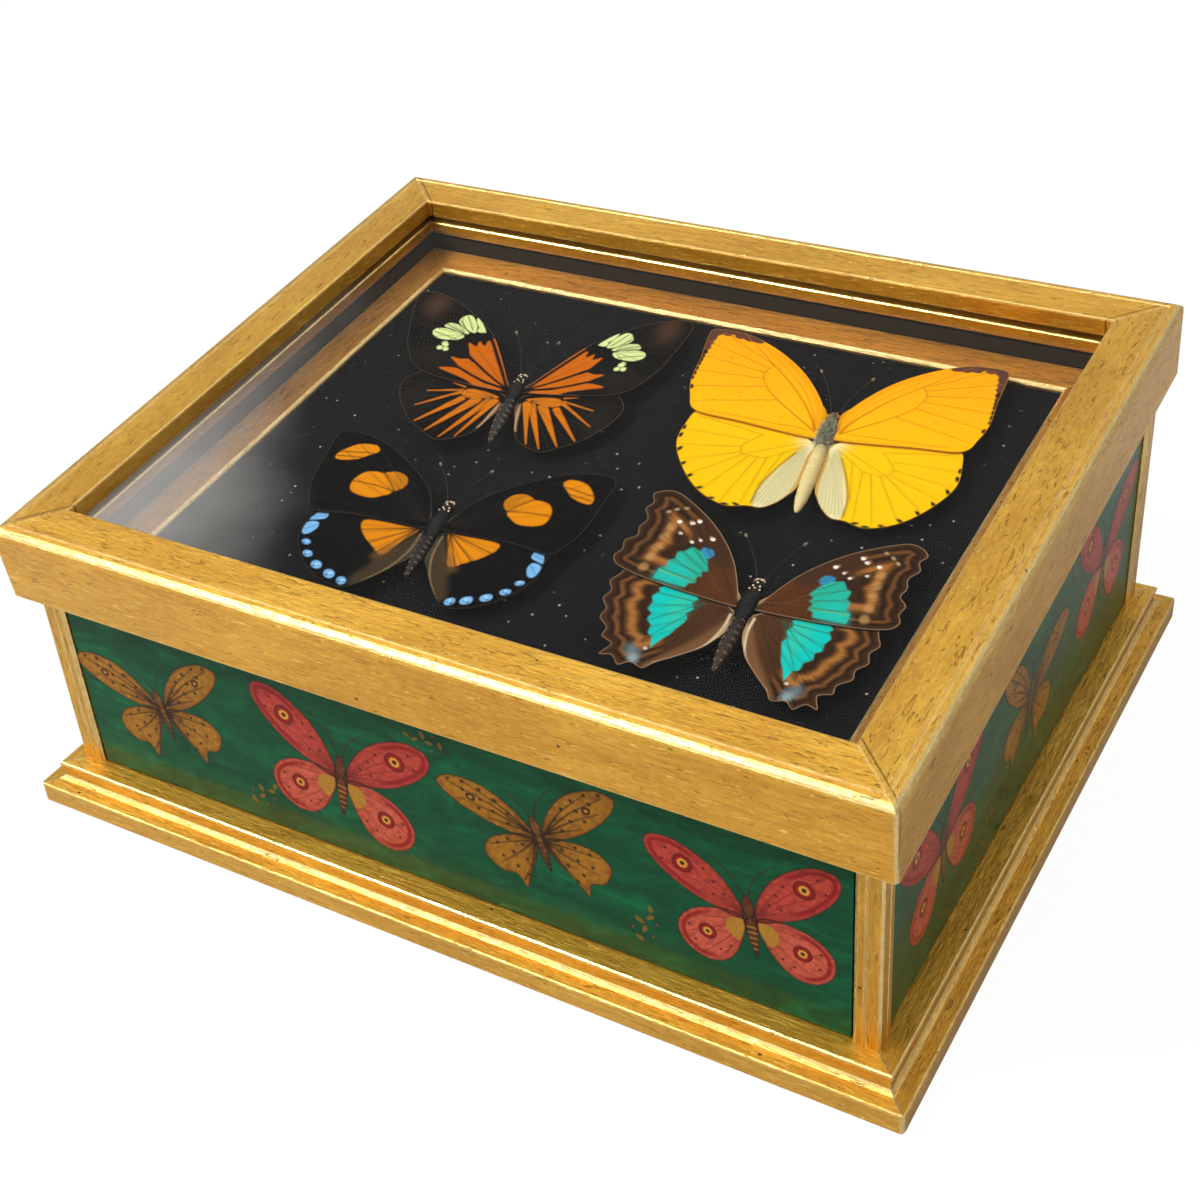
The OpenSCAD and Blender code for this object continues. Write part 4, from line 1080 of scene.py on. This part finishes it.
def ochre_moth():
    """A spread moth in ochre and brown: its outlines, painter and feelers."""
    fore = smooth([(1, 1), (4.5, 7), (10.5, 12.2), (18, 14.2), (22.4, 12.4), (21, 9), (16.5, 5), (9.5, 1.2),
                   (2, -0.8)])
    hind = smooth([(1.2, -0.6), (7, 0), (13.4, -1.8), (16.2, -6), (13.4, -10.4), (9.6, -11.2), (8, -14.6),
                   (5.6, -10.6), (2, -5)])
    trunk = smooth([(0, 5.6), (1.2, 4), (1.4, 0), (1.0, -5), (0, -9.4), (-1.0, -5), (-1.4, 0), (-1.2, 4)])
    shapes = [hind, mirrored(hind), fore, mirrored(fore), trunk]
    ink, deep, gold, ochre = (38, 21, 9), (84, 48, 12), (190, 138, 40), (156, 104, 22)

    def paint(at):
        d = Drawing(at, ochre)
        for s in (-1, 1):
            for wing, root, reach in ((hind, (s, -2), 5.5), (fore, (s, 1), 6.5)):
                shade_wing(d, wing if s > 0 else mirrored(wing), ochre, deep, np.array(root), reach)
            rib(d, s, (1.6, 0.8), ((19.6, 12.4), (15, 12.4), (17.6, 8.2), (12, 3.6)), 0.58, 0.5, ink)
            rib(d, s, (1.6, -1.2), ((13.6, -3.6), (12.6, -8.4), (8, -12.6), (4.6, -8.4)), 0.56, 0.46, ink)
            dots(d, s, ((6, 5.4), (8.4, 8.4), (11.6, 10.8), (15.4, 12.6), (19, 13), (12.2, 8.2), (16, 10.4),
                        (9.8, 5.4), (13.4, 5.8), (6.8, 2.6)), 0.46, ink)
            dots(d, s, ((5, -2.6), (8.6, -1.6), (11.8, -3), (8.2, -5), (11.4, -6.4), (5.2, -6.6),
                        (8.4, -8.8), (6.2, -10.8)), 0.44, ink)
            d.spot(s * 14.6, 8.6, 1.25, ink, 0.8, 30 * s)
            d.spot(s * 14.6, 8.6, 0.85, deep, 0.8, 30 * s)
            d.spot(s * 14.6, 8.6, 0.35, gold)
        shade_wing(d, trunk, (112, 70, 26), ink, np.array((0, -9)), 3)
        for y in (-7, -5.6, -4.2, -2.8, -1.4):
            d.stroke([(-1.1, y), (1.1, y)], 0.25, ink)
        outline_of(d, shapes, ink)
        return d.colour

    return shapes, paint, [[(0.5, 5.2), (2.4, 9), (6.4, 12.6)], [(-0.5, 5.2), (-2.4, 9), (-6.4, 12.6)]]


def coral_moth():
    """A spread moth in coral pink, with one red eye and a red border to each wing."""
    fore = smooth([(1.2, 1.6), (4, 8.4), (9, 14.4), (16.6, 18.6), (22.6, 18), (23.4, 13.6), (19.4, 8),
                   (12, 2.6), (1.6, -0.6)])
    hind = smooth([(1.5, -0.4), (8.4, 0.8), (15.4, -1.6), (19.2, -6.6), (18, -12.4), (13, -15.6),
                   (7.4, -14.2), (3.2, -8)])
    trunk = smooth([(0, 6.6), (1.3, 4.8), (1.6, 0), (1.2, -6.5), (0, -11.6), (-1.2, -6.5), (-1.6, 0),
                    (-1.3, 4.8)])
    shapes = [hind, mirrored(hind), fore, mirrored(fore), trunk]
    ink, deep, red, pink, pale = (46, 14, 10), (108, 30, 24), (134, 14, 16), (172, 60, 48), (186, 82, 62)

    def paint(at):
        d = Drawing(at, pink)
        for s in (-1, 1):
            for wing, tone, root in ((hind, pale, (s, -2)), (fore, pink, (s, 1))):
                shape = wing if s > 0 else mirrored(wing)
                shade_wing(d, shape, tone, deep, np.array(root), 4.5)
                gap = inside(d.at, shape)
                far = np.clip((s * d.at[:, 0] - 8) / 5, 0, 1)
                d.lay(cover(np.abs(gap + 1.5) - 0.55, 0.4) * far * 0.9, red)
            rib(d, s, (1.8, 1), ((20.8, 17), (14, 15.6), (21.4, 12.6), (16.4, 6.6)), 0.55, 0.28, deep)
            rib(d, s, (1.8, -1.4), ((16.4, -3.4), (17.4, -8.6), (13.4, -13.6), (8, -12.6)), 0.55, 0.28,
                deep)
            for x, y, r in ((14.6, 11.8, 2.3), (11.6, -7, 2.0)):
                d.spot(s * x, y, r + 0.3, ink)
                d.spot(s * x, y, r, red)
                d.spot(s * x, y, r * 0.55, (212, 150, 52))
                d.spot(s * x, y, r * 0.28, ink)
            d.patch([(s * 1.4, -1), (s * 5.4, -1.4), (s * 6.4, -4.6), (s * 4, -7.4), (s * 2, -4)],
                    (164, 116, 36), 0.4)
            dots(d, s, ((7.6, 8.4), (9.6, 11.6), (8.2, 4.6), (5.4, 5.4), (6.4, -10), (9, -11.6), (16, -6),
                        (15.2, -10.4), (18.2, 15.4), (19.6, 12)), 0.36, ink)
        shade_wing(d, trunk, (96, 52, 24), ink, np.array((0, -11)), 4)
        for y in (-9, -7.4, -5.8, -4.2, -2.6):
            d.stroke([(-1.3, y), (1.3, y)], 0.28, (176, 124, 48))
        outline_of(d, shapes, ink, 0.45)
        return d.colour

    return shapes, paint, [[(0.5, 6.2), (3, 12), (8.6, 17)], [(-0.5, 6.2), (-3, 12), (-8.6, 17)]]


def ribbon(path, width):
    """A flat stroke along a path, half as wide at its end: points and faces."""
    path = smooth(path, 6, False)
    step = np.gradient(path, axis=0)
    side = np.stack([-step[:, 1], step[:, 0]], 1) / np.hypot(*step.T)[:, None]
    half = (width / 2) * np.linspace(1, 0.5, len(path))[:, None]
    points = np.vstack([path + side * half, path - side * half])
    n = len(path)
    return points, [(i, n + i, n + i + 1, i + 1) for i in range(n - 1)]


LAYER = 0.004  # each shape of a motif lies this far over the one before


def motif_mesh(motif):
    """Flat points, faces and colours of one motif, with its feelers."""
    shapes, paint, feelers = motif
    points, faces, colours = [], [], []
    for i, shape in enumerate(shapes):
        flat, tris = grid_mesh(shape, MOTIF_STEP)
        base = sum(len(p) for p in points)
        points.append(np.column_stack([flat, np.full(len(flat), LAYER * i)]))
        colours.append(paint(flat))
        faces += [tuple(base + i for i in f) for f in tris]
    for path in feelers:
        flat, quads = ribbon(path, 0.35)
        base = sum(len(p) for p in points)
        points.append(np.column_stack([flat, np.full(len(flat), 0.002)]))
        colours.append(np.tile(rgb(50, 32, 18), (len(flat), 1)))
        faces += [tuple(base + i for i in q) for q in quads]
    return np.vstack(points), faces, np.vstack(colours)


def sprig():
    """A small leafy sprig in ink and ochre."""
    points, faces, colours = [], [], []

    def put(flat, quads, tone, h):
        base = sum(len(p) for p in points)
        points.append(np.column_stack([flat, np.full(len(flat), h)]))
        colours.append(np.tile(rgb(*tone), (len(flat), 1)))
        faces.extend(tuple(base + i for i in q) for q in quads)

    stem = [(-5, -4), (-1.5, -0.5), (2, 1.6), (6, 2.4)]
    put(*ribbon(stem, 0.38), (66, 44, 20), 0.0)
    leaves = [(-3, -2, 100, 2.6), (-1, -0.2, 20, 2.6), (1.4, 1.4, 95, 2.8), (3.2, 1.9, -10, 2.6),
              (5.8, 2.4, 45, 2.4)]
    for x, y, turn, size in leaves:
        leaf = smooth([(0, 0), (size * 0.5, size * 0.26), (size, 0), (size * 0.5, -size * 0.26)], 5)
        flat, tris = grid_mesh(turned(leaf, turn) + [x, y], LEAF_STEP)
        put(flat, tris, (112, 88, 30), 0.003)
    for x, y in ((-2.2, 2.2), (4.4, -0.6), (0.4, -2.4)):
        turns = np.linspace(0, 2 * math.pi, 9)[:-1]
        dot = np.array([(x + 0.3 * math.cos(a), y + 0.3 * math.sin(a)) for a in turns])
        put(dot, [tuple(range(8))], (150, 52, 42), 0.003)
    return np.vstack(points), faces, np.vstack(colours)


def on_panel(flat, side):
    """Panel coordinates (along, up, out) to the row frame."""
    a, z, out = flat.T
    out = out + 0.015
    half_x, half_y = CASE_W / 2 - PANEL_IN, CASE_D / 2 - PANEL_IN
    if side == "front":
        return np.stack([a, -half_y - out, z], 1)
    if side == "back":
        return np.stack([-a, half_y + out, z], 1)
    if side == "right":
        return np.stack([half_x + out, a, z], 1)
    return np.stack([-half_x - out, -a, z], 1)


def decorate():
    """Lays the motifs on the four panels: each at (along, up), with its size and turn."""
    ochre, coral, leaf = motif_mesh(ochre_moth()), motif_mesh(coral_moth()), sprig()
    layout = {
        "front": [(ochre, -74, 35, 1.0, 12), (coral, -23, 33, 1.0, -6), (ochre, 28, 36, 1.0, 14),
                  (coral, 76, 34, 0.9, 8),
                  (leaf, -48, 18, 0.9, 20), (leaf, 3, 52, -0.8, 20), (leaf, 52, 20, 0.9, 50)],
        "right": [(coral, -51, 36, 0.95, 6), (ochre, 2, 36, 1.0, -12), (coral, 53, 40, 0.95, -4),
                  (leaf, -24, 18, 0.9, 20), (leaf, 28, 52, -0.8, -20)],
        "back": [(coral, -72, 38, 0.95, 8), (ochre, -24, 38, 1.0, -12), (coral, 26, 38, 0.95, 4),
                 (ochre, 74, 38, 0.95, 10),
                 (leaf, -48, 20, 0.9, 20), (leaf, 50, 56, -0.8, 20)],
    }
    layout["left"] = [(m, -a, z, size, -turn) for m, a, z, size, turn in layout["right"]]
    for side, motifs in layout.items():
        for i, ((points, faces, colours), a, z, size, turn) in enumerate(motifs):
            xy = points[:, :2] * [size, abs(size)]
            xy = turned(xy, turn) + [a, z]
            placed = on_panel(np.column_stack([xy, points[:, 2]]), side)
            order = -1 if size < 0 else 1
            made = make_mesh(f"painted_{side}_{i}", placed, [f[::order] for f in faces], colours)
            made.data.materials.append(PANEL_PAINT)
            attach(made, "case")


# Dressing


def dress():
    """Gives every solid its material."""
    lid = (LID_W / 2, LID_D / 2 * math.cos(SLOPE), CASE_D / 2 - LID_D / 2 * math.cos(SLOPE), 0.45)
    base = (BASE_W / 2, BASE_D / 2, 0, 0.45)
    # The front and back lid rails' gilding is painted 8% lighter than the side rails': painted light
    lid_x_lightened, lid_y = gilt("gilt_lid_x", 0, (1.08, 1.08, 1.08), lid), gilt("gilt_lid_y", 1, mitre=lid)
    # The base's front and back rails are painted lighter and paler than its side rails: painted light
    base_x_lightened, base_y = gilt("gilt_base_x", 0, (1.06, 1.08, 1.16), base), gilt("gilt_base_y", 1, mitre=base)
    post, rail = gilt("gilt_post", 2), gilt("gilt_rail", 0)
    tan = (0.89, 0.82, 0.80)
    slip_x, slip_y = gilt("gilt_slip_x", 0, tan), gilt("gilt_slip_y", 1, tan)
    wood, dark, cell, cloth, pane = board(), lining(), foam(), velvet(), glass()
    brass = metal("brass", (150, 112, 54), (204, 166, 92), 0.3)
    steel = metal("steel", (150, 150, 154), (200, 200, 204), 0.2)
    green, feeler = lacquer("green_lacquer"), antenna()
    choice = {
        "bottom_board": wood, "ledgers": wood, "tray_board": wood, "pinning_foam": cell, "velvet": cloth,
        "glass": pane, "hinge_rail": rail, "mounting_pins": steel,
    }
    for name, obj in nodes.items():
        side = name.rsplit("_", 1)[-1]
        run_x = side in ("front", "back")
        if name in choice:
            made = choice[name]
        elif name.startswith("base_"):
            made = base_x_lightened if run_x else base_y
        elif name.startswith("post_"):
            made = post
        elif name.startswith("panel_"):
            made = green
        elif name.startswith("liner_"):
            made = dark
        elif name.startswith("slip_"):
            made = slip_x if run_x else slip_y
        elif name.startswith(("lid_screws", "case_screws", "hinge_")):
            made = brass
        elif name.startswith(("lid_", "stop_")):
            made = lid_x_lightened if run_x else lid_y
        else:
            made = feeler
        for slot in obj.material_slots:
            slot.material = made
        if not obj.material_slots:
            obj.data.materials.append(made)


# Light, floor and camera

DOME = [(0.0, 0.18), (0.15, 0.28), (0.5, 0.56), (0.8, 1.10), (1.0, 1.30)]  # brightness by height
DOME_TINT = (1.0, 0.99, 0.965)
FLOOR_REACH = 6  # metres

# The photograph's viewpoint, fitted to the case's corners: degrees, millimetres and pixels
AZIMUTH, ELEVATION, CAMERA_ROLL = 33.40, 34.24, -5.30
DISTANCE, ASIDE, ABOVE = 477.25, -16.85, 36.77
FOCAL_PX, PHOTO_PX = 1873.6, 1200
CENTRE_X_PX, CENTRE_Y_PX = 559.2, 559.8
SENSOR = 36


def lamp(name, place, aim, size, power, colour):
    """A rectangular lamp, in metres and watts."""
    data = bpy.data.lights.new(name, "AREA")
    data.shape = "RECTANGLE"
    data.size, data.size_y = size
    data.energy = power
    data.color = colour
    made = bpy.data.objects.new(name, data)
    made.location = place
    made.rotation_euler = (Vector(aim) - Vector(place)).to_track_quat("-Z", "Y").to_euler()
    bpy.context.scene.collection.objects.link(made)


def studio():
    """A world that is white where it is seen, and a dome of warm greys where it lights."""
    world = bpy.data.worlds.new("studio")
    bpy.context.scene.world = world
    world.use_nodes = True
    world.node_tree.nodes.clear()
    n = Nodes(world.node_tree)
    path = n.add("ShaderNodeLightPath").outputs
    seen = n.math("MAXIMUM", path["Is Camera Ray"], path["Is Transmission Ray"])
    way = n.add("ShaderNodeTexCoord").outputs["Generated"]
    height = n.add("ShaderNodeSeparateXYZ", {0: way}).outputs[2]
    grey = n.ramp(height, [(at, (*(value * t for t in DOME_TINT), 1)) for at, value in DOME])
    dome = n.add("ShaderNodeBackground", {"Color": grey}).outputs[0]
    white = n.add("ShaderNodeBackground", {"Color": (1, 1, 1, 1)}).outputs[0]
    n.add("ShaderNodeOutputWorld", {"Surface": n.blend(seen, dome, white)})


def lamps():
    """A key lamp from the front left and two low fills, aimed at the case."""
    lamp("key", (-0.50, -0.50, 0.90), (0, 0, 0.05), (0.24, 0.24), 9.0, (1, 0.985, 0.96))
    lamp("front_fill", (-0.55, -1.05, 0.50), (0, 0, 0.04), (0.9, 0.35), 2.0, (1, 0.99, 0.97))
    lamp("right_fill", (1.1, 0.1, 0.55), (0, 0, 0.04), (0.35, 0.9), 0.9, (1, 0.85, 0.60))


def ground():
    """A grey floor that the camera sees as nearly white, with a faint shadow."""
    p = Paint("floor", Roughness=0.9, Base_Color=(0.50, 0.49, 0.48, 1))
    path = p.add("ShaderNodeLightPath")
    glow = p.add("ShaderNodeEmission", {"Color": (1, 1, 1, 1), "Strength": 1.09})
    share = p.times(path.outputs["Is Camera Ray"], 0.86)
    p.surface(p.blend(share, p.shader.outputs[0], glow.outputs[0]))
    r = FLOOR_REACH
    mesh = bpy.data.meshes.new("floor")
    mesh.from_pydata([(-r, -r, 0), (r, -r, 0), (r, r, 0), (-r, r, 0)], [], [(0, 1, 2, 3)])
    floor = bpy.data.objects.new("floor", mesh)
    floor.data.materials.append(p.material)
    bpy.context.scene.collection.objects.link(floor)


def camera():
    """The camera of the photograph, with its roll and shift."""
    az, el, roll = (math.radians(a) for a in (AZIMUTH, ELEVATION, CAMERA_ROLL))
    back = Vector((math.sin(az) * math.cos(el), -math.cos(az) * math.cos(el), math.sin(el)))
    right = Vector((math.cos(az), math.sin(az), 0))
    up = back.cross(right)
    r = right * math.cos(roll) + up * math.sin(roll)
    u = up * math.cos(roll) - right * math.sin(roll)
    place = (back * DISTANCE + r * ASIDE + u * ABOVE) * MM
    data = bpy.data.cameras.new("camera")
    data.sensor_fit = "HORIZONTAL"
    data.sensor_width = SENSOR
    data.lens = FOCAL_PX / PHOTO_PX * SENSOR
    data.shift_x = (PHOTO_PX / 2 - CENTRE_X_PX) / PHOTO_PX
    data.shift_y = (CENTRE_Y_PX - PHOTO_PX / 2) / PHOTO_PX
    data.clip_start = 0.01
    made = bpy.data.objects.new("camera", data)
    made.matrix_world = Matrix((
        (r.x, u.x, back.x, place.x), (r.y, u.y, back.y, place.y), (r.z, u.z, back.z, place.z),
        (0, 0, 0, 1)))
    bpy.context.scene.collection.objects.link(made)
    bpy.context.scene.camera = made


WING_SCALES = painted("wing_scales", 0.62, 0.07, gloss=0.0)
PANEL_PAINT = painted("panel_paint", 0.3, 0.16, coat=0.1, gloss=0.1)

bpy.context.scene.view_settings.view_transform = "Standard"
studio()
lamps()
ground()
camera()
dress()
for name, kind in BUTTERFLIES.items():
    for which in (0, 1):
        wing_pair(name, kind, which)
    body(name, kind)
    feelers(name, kind)
decorate()
